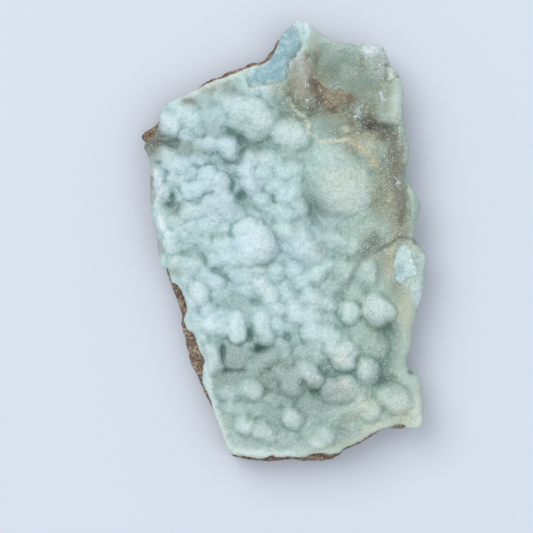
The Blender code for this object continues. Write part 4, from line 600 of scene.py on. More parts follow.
# Where bright crystals glitter: x, y, reach in x, reach in y, how many
GLITTER = (
    (34.4, 75.8, 2.8, 1.8, 420), (32.4, 78, 1, 0.6, 24), (41.4, 73.4, 0.8, 1.6, 30),
    (39, 57.4, 0.6, 1.8, 30), (28.6, 49.3, 0.6, 0.4, 16), (29.4, 52, 1.4, 2.6, 46),
    (45.6, 22.8, 0.9, 1.2, 24), (8.6, 61.8, 1.2, 2.4, 26), (9.4, 55.8, 0.5, 0.4, 10),
    (6.2, 88.2, 1.2, 0.6, 26), (4.6, 84, 1.2, 2, 24), (52.2, -9.8, 0.8, 4, 30),
    (46.8, -16.6, 1.2, 0.8, 24), (54, -23.2, 0.6, 1.4, 26), (37.4, -27.4, 4, 3.4, 60),
    (23.4, -46.4, 2.6, 2.6, 50), (12.4, -54.2, 1.4, 0.6, 30), (23.8, -56.8, 2.4, 2, 36),
    (46, -64, 2.6, 2, 14), (-8.2, -17, 1.6, 1.6, 24), (24, 20, 12, 12, 260),
    (-6, -30, 40, 44, 700), (-8, 28, 36, 30, 480), (38, 69, 3.4, 3, 70), (42, 24, 4, 16, 90),
    (1.4, 70, 0.6, 2.6, 14), (-50, 18, 1.2, 10, 40), (30, -50, 20, 24, 240), (33, -3, 5, 3, 60),
    (31.4, 20, 3, 5, 50), (31, 51, 2.6, 3, 30),
)


def smoothed(points):
    """A closed Catmull-Rom curve through the points, sampled every OUTLINE_STEP."""
    here = np.array(points)[:, None, :]
    before = np.roll(here, 1, axis=0)
    after = np.roll(here, -1, axis=0)
    beyond = np.roll(here, -2, axis=0)
    t = np.linspace(0, 1, 24, endpoint=False)[None, :, None]
    curve = (here + 0.5 * (after - before) * t
             + (before - 2.5 * here + 2 * after - 0.5 * beyond) * t ** 2
             + (1.5 * (here - after) + 0.5 * (beyond - before)) * t ** 3).reshape(-1, 2)
    closed = np.vstack((curve, curve[:1]))
    travelled = np.concatenate(([0], np.cumsum(np.linalg.norm(np.diff(closed, axis=0), axis=1))))
    count = round(travelled[-1] / OUTLINE_STEP)
    wanted = np.linspace(0, travelled[-1], count, endpoint=False)
    return np.column_stack([np.interp(wanted, travelled, closed[:, axis]) for axis in (0, 1)])


def inset(points, distance):
    """An open clockwise stretch of outline, moved inwards by the distance."""
    line = np.array(points)
    along = np.gradient(line, axis=0)
    along /= np.linalg.norm(along, axis=1)[:, None]
    inward = np.column_stack((along[:, 1], -along[:, 0]))
    return tuple(map(tuple, line + distance * inward))


def outward_normals(outline):
    """Unit normals of a clockwise outline, evened over its neighbouring points."""
    along = np.roll(outline, -6, axis=0) - np.roll(outline, 6, axis=0)
    normal = np.column_stack((-along[:, 1], along[:, 0]))
    return normal / np.linalg.norm(normal, axis=1)[:, None]


def smooth_noise(x, y, z, size):
    """Smooth noise between about -1 and 1 whose lumps are of the given size."""
    x, y, z = np.broadcast_arrays(x, y, z)
    values = [noise.noise(Vector(place)) for place in zip(x.ravel() / size, y.ravel() / size,
                                                           z.ravel() / size)]
    return np.array(values).reshape(x.shape)


def cell_distance(x, y, z, size):
    """Distance to the nearest centre of an irregular packing of cells, in cell sizes."""
    x, y, z = np.broadcast_arrays(x, y, z)
    values = [noise.voronoi(Vector(place))[0][0] for place in zip(x.ravel() / size, y.ravel() / size,
                                                                   z.ravel() / size)]
    return np.array(values).reshape(x.shape)


def bites(x, y, rows, z=1.0):
    """How deep the bites of a break go: noise of several depths, sizes and levels."""
    return sum(depth * np.abs(smooth_noise(x, y, level * z, size)) for depth, size, level in rows)


def bubbles(x, y, z, size, deepest):
    """Round bubbles packed at the given size: 1 on top, no lower than -deepest between them."""
    return np.maximum(1 - (cell_distance(x, y, z, size) / BUBBLE_RADIUS) ** 2, -deepest)


def pushed(x, y, rows):
    """Places pushed about a little by noise."""
    push_x, push_y = (sum(push * smooth_noise(x, y, level + apart, size)
                          for push, size, level in rows) for apart in (0, PUSH_APART))
    return x + push_x, y + push_y


def ragged(outline, broken):
    """The outline with the small bites of a break, as deep as broken says at each point."""
    depth = bites(outline[:, 0], outline[:, 1], OUTLINE_BITES) * broken
    return outline - depth[:, None] * outward_normals(outline)


def inside(x, y, outline):
    """Whether each place is inside a closed outline."""
    start = outline[::3]
    end = np.roll(start, -1, axis=0)
    places_x, places_y = np.ravel(x), np.ravel(y)
    within = np.zeros(len(places_x), bool)
    for (x0, y0), (x1, y1) in zip(start, end):
        if y0 != y1:
            spans = (places_y >= min(y0, y1)) & (places_y < max(y0, y1))
            left = places_x[spans] < x0 + (places_y[spans] - y0) * (x1 - x0) / (y1 - y0)
            within[spans] ^= left
    return within.reshape(np.shape(x))


def depth_inside(x, y, outline):
    """Distance from each place to a closed outline, positive inside it."""
    tree = kdtree.KDTree(len(outline))
    for index, (px, py) in enumerate(outline):
        tree.insert((px, py, 0), index)
    tree.balance()
    away = np.array([tree.find((px, py, 0))[2] for px, py in zip(np.ravel(x), np.ravel(y))])
    return np.where(inside(x, y, outline), 1, -1) * away.reshape(np.shape(x))


def distance_to_line(x, y, points):
    """Distance from each place to an open line of points."""
    nearest = np.full(np.shape(x), 1e9)
    for (x0, y0), (x1, y1) in zip(points, points[1:]):
        along_x, along_y = x1 - x0, y1 - y0
        share = ((x - x0) * along_x + (y - y0) * along_y) / (along_x ** 2 + along_y ** 2)
        share = np.clip(share, 0, 1)
        nearest = np.minimum(nearest, np.hypot(x - x0 - share * along_x, y - y0 - share * along_y))
    return nearest


def smooth_max(first, second, reach):
    """The higher of two heights, with a fillet where they meet."""
    blend = np.clip(0.5 + 0.5 * (second - first) / reach, 0, 1)
    return first + (second - first) * blend + reach * blend * (1 - blend)


def dome(distance, radius, rise):
    """Height of a spherical cap over the level that it stands on, below zero past its foot."""
    ball = (radius ** 2 + rise ** 2) / (2 * rise)
    past = np.maximum(distance - ball, 0)
    return rise - ball + np.sqrt(np.maximum(ball ** 2 - distance ** 2, 0)) - 5 * past


def swells(x, y, rows):
    """Sum of round swells and hollows."""
    total = np.zeros(np.shape(x))
    for at_x, at_y, reach_x, reach_y, height in rows:
        total += height * np.exp(-((x - at_x) / reach_x) ** 2 - ((y - at_y) / reach_y) ** 2)
    return total


def within(x, y, polygon, softness):
    """1 inside a polygon and 0 outside it, with a soft ragged border."""
    low, high = np.min(polygon, axis=0) - 2 * softness, np.max(polygon, axis=0) + 2 * softness
    near = (x > low[0]) & (x < high[0]) & (y > low[1]) & (y < high[1])
    share = np.zeros(np.shape(x))
    depth = depth_inside(x[near], y[near], straight(polygon))
    share[near] = np.clip(0.5 + depth / softness, 0, 1)
    return share * share * (3 - 2 * share)


def areas(x, y, rows, bands=(), patches=()):
    """How strongly a colour covers each place, from its round areas, bands and patches."""
    bare = np.ones(np.shape(x))
    for softness, strength, polygon in patches:
        bare *= 1 - strength * within(x, y, polygon, softness)
    for at_x, at_y, reach_x, reach_y, strength in rows:
        away = ((x - at_x) / reach_x) ** 2 + ((y - at_y) / reach_y) ** 2
        bare *= 1 - strength * np.exp(-away ** 1.5)
    for half_width, strength, points in bands:
        bare *= 1 - strength * np.exp(-(distance_to_line(x, y, points) / half_width) ** 3)
    return 1 - bare


def ground(x, y):
    """Level of the crust between its lumps, before the mounds."""
    return SEAM + CRUST_THICKNESS + swells(x, y, SWELLS)


def raised(x, y, level, foot_at, rows, fillet):
    """The level with long or round domes standing on it, each on its own foot."""
    for start_x, start_y, end_x, end_y, radius, rise in rows:
        foot = foot_at((start_x + end_x) / 2, (start_y + end_y) / 2)
        spine = ((start_x, start_y), (end_x, end_y))
        level = smooth_max(level, foot + dome(distance_to_line(x, y, spine), radius, rise), fillet)
    return level


def mounded(x, y):
    """The ground with its wide mounds."""
    return raised(x, y, ground(x, y), ground, MOUNDS, MOUND_FILLET)


def smooth_share(x, y):
    """1 where the crust is a smooth plate, 0 among the lumps."""
    bare = np.ones(np.shape(x))
    for half_width, points in SMOOTH_BANDS:
        bare *= 1 - np.exp(-(distance_to_line(x, y, points) / half_width) ** 4)
    return 1 - bare


def grown_share(x, y):
    """1 along the right side, whose edge grew smooth, and 0 where the edge is broken."""
    return np.clip((x - 34) / 8, 0, 1) * np.clip((72 - y) / 6, 0, 1) * np.clip((y + 72) / 4, 0, 1)


def face_height(x, y, outline):
    """Height of the crust's face above the resting level."""
    true_x, true_y = x, y
    smooth = smooth_share(x, y)
    x, y = pushed(x, y, LUMP_PUSHES)
    base = mounded(x, y)
    lumps = UPPER_LEFT_LUMPS + LEFT_LUMPS + MIDDLE_LUMPS + LOWER_LEFT_LUMPS + LOWER_RIGHT_LUMPS
    level = raised(x, y, base, mounded, lumps, LUMP_FILLET)
    level = level + BUBBLE_RISE * bubbles(x, y, 0.7 * level, BUBBLE_SIZE, 0.5)
    level = level + UNEVENNESS * smooth_noise(x, y, 50.0, UNEVENNESS_SIZE)
    level = base + (level - base) * (1 - 0.85 * smooth)
    x, y = true_x, true_y
    level = level + swells(x, y, PITS)
    for half_width, height, points in GROOVES_AND_RIDGES:
        level = level + height * np.exp(-(distance_to_line(x, y, points) / half_width) ** 2)
    for polygon, floor, fall_x, fall_y in BREAKS:
        middle_x, middle_y = np.mean(polygon, axis=0)
        near = np.hypot(x - middle_x, y - middle_y) < BREAK_REACH
        at_x, at_y = x[near], y[near]
        ragged_x, ragged_y = pushed(at_x, at_y, COLOUR_PUSHES)
        outside = np.maximum(-depth_inside(ragged_x, ragged_y, straight(polygon)), 0)
        cut = floor + fall_x * (at_x - middle_x) + fall_y * (at_y - middle_y)
        cut = cut + BREAK_WALL_SLOPE * outside + 0.5 * hackle(at_x, at_y, BREAK_HACKLE_SIZE)
        level[near] = -smooth_max(-level[near], -cut, BREAK_FILLET)
    grown = grown_share(x, y)
    edge_round = BROKEN_EDGE_ROUND + (GROWN_EDGE_ROUND - BROKEN_EDGE_ROUND) * grown
    from_edge = np.clip(depth_inside(x, y, outline), 0, edge_round)
    return level - edge_round + np.sqrt(edge_round ** 2 - (edge_round - from_edge) ** 2)


def straight(polygon):
    """A closed polygon sampled every OUTLINE_STEP along its straight sides."""
    corners = np.array(polygon)
    sides = zip(corners, np.roll(corners, -1, axis=0))
    runs = []
    for start, end in sides:
        count = max(1, round(float(np.linalg.norm(end - start)) / OUTLINE_STEP))
        runs.append(start + (end - start) * np.linspace(0, 1, count, endpoint=False)[:, None])
    return np.vstack(runs)


def blurred(field, reach, cell):
    """A field evened by a Gaussian of the given reach."""
    rows = np.fft.fftfreq(field.shape[0], cell)[:, None]
    columns = np.fft.rfftfreq(field.shape[1], cell)[None, :]
    filter_curve = np.exp(-2 * (np.pi * reach) ** 2 * (rows ** 2 + columns ** 2))
    return np.fft.irfft2(np.fft.rfft2(field) * filter_curve, field.shape)


class Face:
    """The crust's face as height, slope and crease fields on a lattice that can be sampled."""

    def __init__(self, outline):
        margin = 4.0
        self.low = outline.min(axis=0) - margin
        high = outline.max(axis=0) + margin
        columns, rows = np.ceil((high - self.low) / FIELD_CELL).astype(int)
        x, y = np.meshgrid(self.low[0] + FIELD_CELL * np.arange(columns),
                           self.low[1] + FIELD_CELL * np.arange(rows))
        self.height = face_height(x, y, outline)
        self.slope_y, self.slope_x = np.gradient(self.height, FIELD_CELL)
        self.crease = blurred(self.height, 1.5, FIELD_CELL) - self.height
        self.hollow = blurred(self.height, 5.0, FIELD_CELL) - self.height

    def at(self, field, x, y):
        """A field's values at the given places, read between its lattice points."""
        column = np.clip((x - self.low[0]) / FIELD_CELL, 0, field.shape[1] - 2)
        row = np.clip((y - self.low[1]) / FIELD_CELL, 0, field.shape[0] - 2)
        left, under = column.astype(int), row.astype(int)
        right_share, over_share = column - left, row - under
        low = field[under, left] * (1 - right_share) + field[under, left + 1] * right_share
        high = field[under + 1, left] * (1 - right_share) + field[under + 1, left + 1] * right_share
        return low * (1 - over_share) + high * over_share


def put_at(vertices, x, y, z):
    """Move the vertices to the given places, in millimetres."""
    for vertex, px, py, pz in zip(vertices, x, y, z):
        vertex.co = (px * MM, py * MM, pz * MM)


def places_of(vertices):
    """The vertices' x and y, in millimetres."""
    places = np.array([vertex.co[:2] for vertex in vertices]) / MM
    return places[:, 0], places[:, 1]


def edges_round(ring):
    """The edges between the successive vertices of a closed ring."""
    pairs = zip(ring, ring[1:] + ring[:1])
    return [next(e for e in a.link_edges if e.other_vert(a) is b) for a, b in pairs]


def grown_ring(bm, ring):
    """Extrude a ring of edges and return the new ring, in the same order."""
    made = bmesh.ops.extrude_edge_only(bm, edges=edges_round(ring))["geom"]
    new = {item for item in made if isinstance(item, bmesh.types.BMVert)}
    return [next(e.other_vert(v) for e in v.link_edges if e.other_vert(v) in new) for v in ring]


def border_ring(bm):
    """The vertices round the border of an open sheet, in order."""
    first = next(vertex for vertex in bm.verts if vertex.is_boundary)
    ring = [first]
    edge = next(e for e in first.link_edges if e.is_boundary)
    while True:
        vertex = edge.other_vert(ring[-1])
        if vertex is first:
            return ring
        ring.append(vertex)
        edge = next(e for e in vertex.link_edges if e.is_boundary and e is not edge)


def seats_on(outline, ring):
    """Where each vertex of a ring sits along the outline, as an even run of indices."""
    x, y = places_of(ring)
    count = len(outline)
    nearest = np.array([np.argmin(np.hypot(outline[:, 0] - px, outline[:, 1] - py))
                        for px, py in zip(x, y)])
    steps = (np.diff(nearest) + count / 2) % count - count / 2
    run = nearest[0] + np.concatenate(([0], np.cumsum(steps)))
    turns = count * np.sign(run[-1] - run[0])
    even = np.arange(len(ring)) * turns / len(ring)
    drift = run - even
    for _ in range(12):
        drift = 0.5 * drift + 0.25 * (np.roll(drift, 1) + np.roll(drift, -1))
    return (drift + even) % count


def along_outline(values, seats):
    """Values at fractional indices of a closed outline."""
    low = np.floor(seats).astype(int) % len(values)
    share = (seats - np.floor(seats))[:, None]
    return values[low] * (1 - share) + values[(low + 1) % len(values)] * share


def sheet_within(outline, cell):
    """A sheet of square cells with a band of faces that reaches the outline.

    Returns the bmesh, the ring of vertices on the outline and their seats along it.
    """
    bm = bmesh.new()
    low = outline.min(axis=0) - cell
    high = outline.max(axis=0) + cell
    columns, rows = np.ceil((high - low) / cell).astype(int)
    half_width, half_length = columns * cell / 2 * MM, rows * cell / 2 * MM
    middle = Vector((*((low + high) / 2 * MM), 0))
    place = Matrix.Translation(middle) @ Matrix.Diagonal((half_width, half_length, 1, 1))
    bmesh.ops.create_grid(bm, x_segments=int(columns), y_segments=int(rows), size=1, matrix=place)
    vertices = list(bm.verts)
    depth = depth_inside(*places_of(vertices), outline)
    outside = [vertex for vertex, inner in zip(vertices, depth) if inner < 0.6 * cell]
    bmesh.ops.delete(bm, geom=outside, context="VERTS")
    while True:
        stray = [v for v in bm.verts
                 if not v.link_faces or sum(e.is_boundary for e in v.link_edges) > 2]
        if not stray:
            break
        bmesh.ops.delete(bm, geom=stray, context="VERTS")
    inner = border_ring(bm)
    seats = seats_on(outline, inner)
    ring = grown_ring(bm, inner)
    edge = along_outline(outline, seats)
    put_at(ring, edge[:, 0], edge[:, 1], np.zeros(len(ring)))
    held = set(inner)
    near = [v for v in bm.verts if not v.is_boundary
            and any(e.other_vert(v) in held for e in v.link_edges)]
    for _ in range(3):
        bmesh.ops.smooth_vert(bm, verts=near, factor=0.5, use_axis_x=True, use_axis_y=True)
    return bm, ring, seats


def hackle(x, y, size):
    """The little tilted facets of a fresh break, whose width is about the given size."""
    heights = []
    for px, py in zip(np.ravel(x) / size, np.ravel(y) / size):
        middle = noise.voronoi(Vector((px, py, 0.5)))[1][0]
        step, tilt_x, tilt_y = (noise.cell(middle * 37.0 + Vector((k, 0, 0))) for k in (0, 71, 142))
        heights.append(0.3 * step + 0.4 * tilt_x * (px - middle.x) + 0.4 * tilt_y * (py - middle.y))
    return np.array(heights).reshape(np.shape(x))


def knobs(x, y, z):
    """The small round knobs that cover the lumps, in two sizes, in millimetres."""
    return sum(rise * bubbles(x + shift, y, z, size, KNOB_DEPTH) for rise, size, shift in KNOBS)


def crust_outline():
    """The crust's outline, ragged where it is broken."""
    outline = smoothed(CRUST_TOP_LEFT + TIP_AND_SHOULDER + RIGHT_SIDE + LOWER_RIGHT_CORNER
                       + CRUST_BOTTOM + LOWER_LEFT_FOOT + CRUST_LOWER_LEFT + LEFT_SIDE[:-1])
    return ragged(outline, 1 - grown_share(outline[:, 0], outline[:, 1]))


def rock_outline():
    """The rock's outline: its own where bare rock shows, else inset under the crust."""
    right = inset(TIP_AND_SHOULDER + RIGHT_SIDE + LOWER_RIGHT_CORNER, RIM_INSET)
    left = inset(LEFT_SIDE, LEFT_INSET)
    return ragged(smoothed(ROCK_TOP_LEFT + right + ROCK_BOTTOM + LOWER_LEFT_FOOT
                           + ROCK_LOWER_LEFT + left), 1.0)


def set_back(ring, edge, outward, distance, z):
    """Put a ring under the outline's edge, set back from it by the distance."""
    put_at(ring, edge[:, 0] - distance * outward[:, 0], edge[:, 1] - distance * outward[:, 1], z)


def crust_wall(bm, ring, seats, outline):
    """The crust's side, from its face down past the seam, closed under it."""
    edge = along_outline(outline, seats)
    outward = along_outline(outward_normals(outline), seats)
    grown = grown_share(edge[:, 0], edge[:, 1])
    top = np.array([vertex.co.z for vertex in ring]) / MM
    foot = SEAM - 1.0 + 1.1 * smooth_noise(edge[:, 0], edge[:, 1], 9.0, 9.0)
    for share in np.linspace(0.1, 1.0, CRUST_WALL_STEPS):
        ring = grown_ring(bm, ring)
        z = top + share * (foot - top)
        hackly = np.minimum(share * 6, 1) * bites(edge[:, 0], edge[:, 1], CRUST_BITES, z)
        rolled = GROWN_UNDERCUT * share ** 2 + bites(edge[:, 0], edge[:, 1], GROWN_BITES, z)
        back = hackly * (1 - grown) + rolled * grown
        set_back(ring, edge, outward, back, z)
    ring = grown_ring(bm, ring)
    set_back(ring, edge, outward, back + 0.8, np.full(len(ring), SEAM - 0.4))
    bmesh.ops.edgeloop_fill(bm, edges=edges_round(ring))


def named_values(mesh, name, values):
    """Store one number a vertex, which the material reads by its name."""
    mesh.attributes.new(name, "FLOAT", "POINT").data.foreach_set("value", values.astype(np.float32))


def vertex_places(mesh):
    """The mesh's vertices in millimetres, as x, y and z."""
    places = np.empty(3 * len(mesh.vertices))
    mesh.vertices.foreach_get("co", places)
    return places.reshape(-1, 3).T / MM


def finished_piece(bm, name, material, node):
    """Turn a closed bmesh into a piece that stands for a CAD node."""
    bmesh.ops.triangulate(bm, faces=[face for face in bm.faces if len(face.verts) > 4])
    bmesh.ops.recalc_face_normals(bm, faces=bm.faces)
    mesh = bpy.data.meshes.new(name)
    bm.to_mesh(mesh)
    bm.free()
    mesh.shade_smooth()
    mesh.materials.append(material)
    piece = bpy.data.objects.new(name, mesh)
    bpy.context.scene.collection.objects.link(piece)
    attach(piece, "root")
    if node:
        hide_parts(node)
    return piece


def build_glitter(face, outline):
    """The tiny bright crystals that stand on the crust, joined as one piece."""
    chance = np.random.default_rng(11)
    bm = bmesh.new()
    for at_x, at_y, reach_x, reach_y, count in GLITTER:
        x = at_x + reach_x * chance.normal(0, 0.6, count)
        y = at_y + reach_y * chance.normal(0, 0.6, count)
        sizes = chance.uniform(0.13, 0.34, count)
        keep = depth_inside(x, y, outline) > 0.8
        for px, py, size in zip(x[keep], y[keep], sizes[keep]):
            level = float(face.at(face.height, np.array([px]), np.array([py]))[0])
            turn = Matrix.Rotation(chance.uniform(0, 6.28), 4, "Z") @ Matrix.Rotation(
                chance.uniform(-0.7, 0.7), 4, "X")
            place = Matrix.Translation(Vector((px, py, level + size)) * MM) @ turn
            bmesh.ops.create_cone(bm, cap_ends=True, segments=4, radius1=size * MM,
                                  radius2=0.35 * size * MM, depth=2.4 * size * MM, matrix=place)
    finished_piece(bm, "glittering_crystals", glitter_material(), None)


def build_crust():
    """The botryoidal crust with its knobs, edges, breaks and colour areas."""
    outline = crust_outline()
    face = Face(outline)
    bm, ring, seats = sheet_within(outline, CRUST_CELL)
    vertices = list(bm.verts)
    x, y = places_of(vertices)
    z = face.at(face.height, x, y)
    slope_x, slope_y = face.at(face.slope_x, x, y), face.at(face.slope_y, x, y)
    length = np.sqrt(slope_x ** 2 + slope_y ** 2 + 1)
    broken = areas(x, y, (), [(1.0, 1.0, polygon) for polygon, *_ in BREAKS])
    for polygon, *_ in BREAKS:
        broken = np.maximum(broken, inside(x, y, straight(polygon)))
    from_edge = depth_inside(x, y, outline)
    quiet = np.maximum.reduce([0.85 * smooth_share(x, y), 0.9 * broken, 1 - from_edge / 1.2])
    lift = knobs(x, y, z) * np.clip(1 - quiet, 0, 1)
    on_sheet = from_edge > 0.05
    shift = np.where(on_sheet, lift / length, 0)
    put_at(vertices, x - shift * slope_x, y - shift * slope_y, z + shift)
    crust_wall(bm, ring, seats, outline)
    crust = finished_piece(bm, "botryoidal_crust", crust_material(), "hemimorphite_crust")
    x, y, z = vertex_places(crust.data)
    mesh = crust.data
    on_face = np.clip((z - face.at(face.height, x, y) + 1.2) / 0.6, 0, 1)
    # crease and hollow feed the material's painted shade in creases and hollows and its painted highlight
    # on lump tops
    crease = face.at(face.crease, x, y) - 0.5 * knobs(x, y, z)
    named_values(mesh, "crease", np.clip(crease / 0.8, -1, 1) * on_face)
    named_values(mesh, "hollow", np.clip(face.at(face.hollow, x, y) / 2.0, -1, 1) * on_face)
    at_x, at_y = pushed(x, y, COLOUR_PUSHES)
    for name, (rows, bands, patches) in COLOUR_AREAS.items():
        named_values(mesh, name, areas(at_x, at_y, rows, bands, patches))
    named_values(mesh, "gloss", smooth_share(x, y))
    build_glitter(face, outline)


def rock_top(x, y, depth):
    """The rock's upper side: rough, and falling towards its outline."""
    rough = 1.0 * smooth_noise(x, y, 2.0, 11.0) + 0.5 * smooth_noise(x, y, 7.0, 3.2)
    fine = 0.25 * smooth_noise(x, y, 1.0, 1.4)
    return SEAM + rough + fine - 3.2 * (1 - np.clip(depth / 6.5, 0, 1)) ** 1.5


def rock_back(x, y, depth):
    """The rock's rough back: flat where it rests, hollowed and bevelled elsewhere."""
    hollow = BACK_RELIEF * (0.45 + smooth_noise(x, y, 3.7 * BACK_HOLLOW_SIZE, BACK_HOLLOW_SIZE))
    for at_x, at_y, reach in RESTING_PATCHES:
        near = np.exp(-(np.hypot(x - at_x, y - at_y) / reach) ** 4)
        hollow = hollow - 2 * BACK_RELIEF * near
    near_edge = 1 - np.clip(depth / BACK_BEVEL_REACH, 0, 1)
    rise = BACK_BEVEL_RISE * (1 + 1.4 * smooth_noise(x, y, 7.4 * BACK_HOLLOW_SIZE, 2 * BACK_HOLLOW_SIZE))
    rough = 0.45 * (smooth_noise(x, y, 0.0, 4.0) + 0.6 * smooth_noise(x, y, 0.0, 1.8)) + 0.2
    return np.maximum(np.maximum(hollow, 0) * (1 - near_edge) + rise * near_edge ** 1.5 + rough, 0)


def build_rock():
    """The brown rock beneath the crust, rough all round."""
    outline = rock_outline()
    bm, ring, seats = sheet_within(outline, ROCK_CELL)
    top = list(bm.verts)
    index_of = {vertex: index for index, vertex in enumerate(top)}
    copies = bmesh.ops.duplicate(bm, geom=bm.verts[:] + bm.edges[:] + bm.faces[:])["vert_map"]
    back = [copies[vertex] for vertex in top]
    x, y = places_of(top)
    depth = depth_inside(x, y, outline)
    top_z, back_z = rock_top(x, y, depth), rock_back(x, y, depth)
    put_at(top, x, y, top_z)
    put_at(back, x, y, back_z)
    places = [index_of[vertex] for vertex in ring]
    edge = along_outline(outline, seats)
    outward = along_outline(outward_normals(outline), seats)
    back_ring = [back[place] for place in places]
    for share in np.linspace(0, 1, ROCK_WALL_STEPS + 1)[1:]:
        ring = grown_ring(bm, ring)
        z = top_z[places] + share * (back_z[places] - top_z[places])
        hackly = bites(edge[:, 0], edge[:, 1], ROCK_BITES, z)
        set_back(ring, edge, outward, hackly * np.sin(np.pi * share) ** 0.5, z)
    bmesh.ops.remove_doubles(bm, verts=ring + back_ring, dist=1e-7)
    finished_piece(bm, "brown_matrix", rock_material(), "matrix_rock")


def add(tree, kind, inputs=(), **settings):
    """Add a node with its settings, each input given a value or a link."""
    made = tree.nodes.new(kind)
    for key, value in settings.items():
        setattr(made, key, value)
    for key, value in dict(inputs).items():
        if isinstance(value, bpy.types.NodeSocket):
            tree.links.new(value, made.inputs[key])
        else:
            made.inputs[key].default_value = value
    return made


def blended(tree, share, first, second):
    """A mix of two colours."""
    inputs = {0: share, 6: first, 7: second}
    return add(tree, "ShaderNodeMix", inputs, data_type="RGBA").outputs[2]


def worked(tree, operation, first, second):
    """One step of arithmetic, kept between 0 and 1."""
    inputs = {0: first, 1: second}
    return add(tree, "ShaderNodeMath", inputs, operation=operation, use_clamp=True).outputs[0]


def ranged(tree, value, low, high, to_low=0.0, to_high=1.0):
    """A value's range from low to high, stretched onto another."""
    inputs = {"Value": value, "From Min": low, "From Max": high, "To Min": to_low, "To Max": to_high}
    return add(tree, "ShaderNodeMapRange", inputs, interpolation_type="SMOOTHSTEP").outputs[0]


def vertex_value(tree, name):
    """A number that the mesh holds for each vertex."""
    return add(tree, "ShaderNodeAttribute", attribute_name=name).outputs["Fac"]


def cloudy(tree, size, detail=3.0, roughness=0.55):
    """Soft noise whose patches are of the given size, in millimetres."""
    place = add(tree, "ShaderNodeTexCoord").outputs["Object"]
    inputs = {"Vector": place, "Scale": 1 / (size * MM), "Detail": detail, "Roughness": roughness}
    return add(tree, "ShaderNodeTexNoise", inputs).outputs["Fac"]


def grains(tree, size, output="Distance"):
    """A packing of grains of the given size, in millimetres."""
    place = add(tree, "ShaderNodeTexCoord").outputs["Object"]
    inputs = {"Vector": place, "Scale": 1 / (size * MM)}
    return add(tree, "ShaderNodeTexVoronoi", inputs).outputs[output]


def shader_tree(name, roughness):
    """A new material, its tree and its Principled shader."""
    material = bpy.data.materials.new(name)
    material.use_nodes = True
    shader = material.node_tree.nodes["Principled BSDF"]
    shader.inputs["Roughness"].default_value = roughness
    return material, material.node_tree, shader


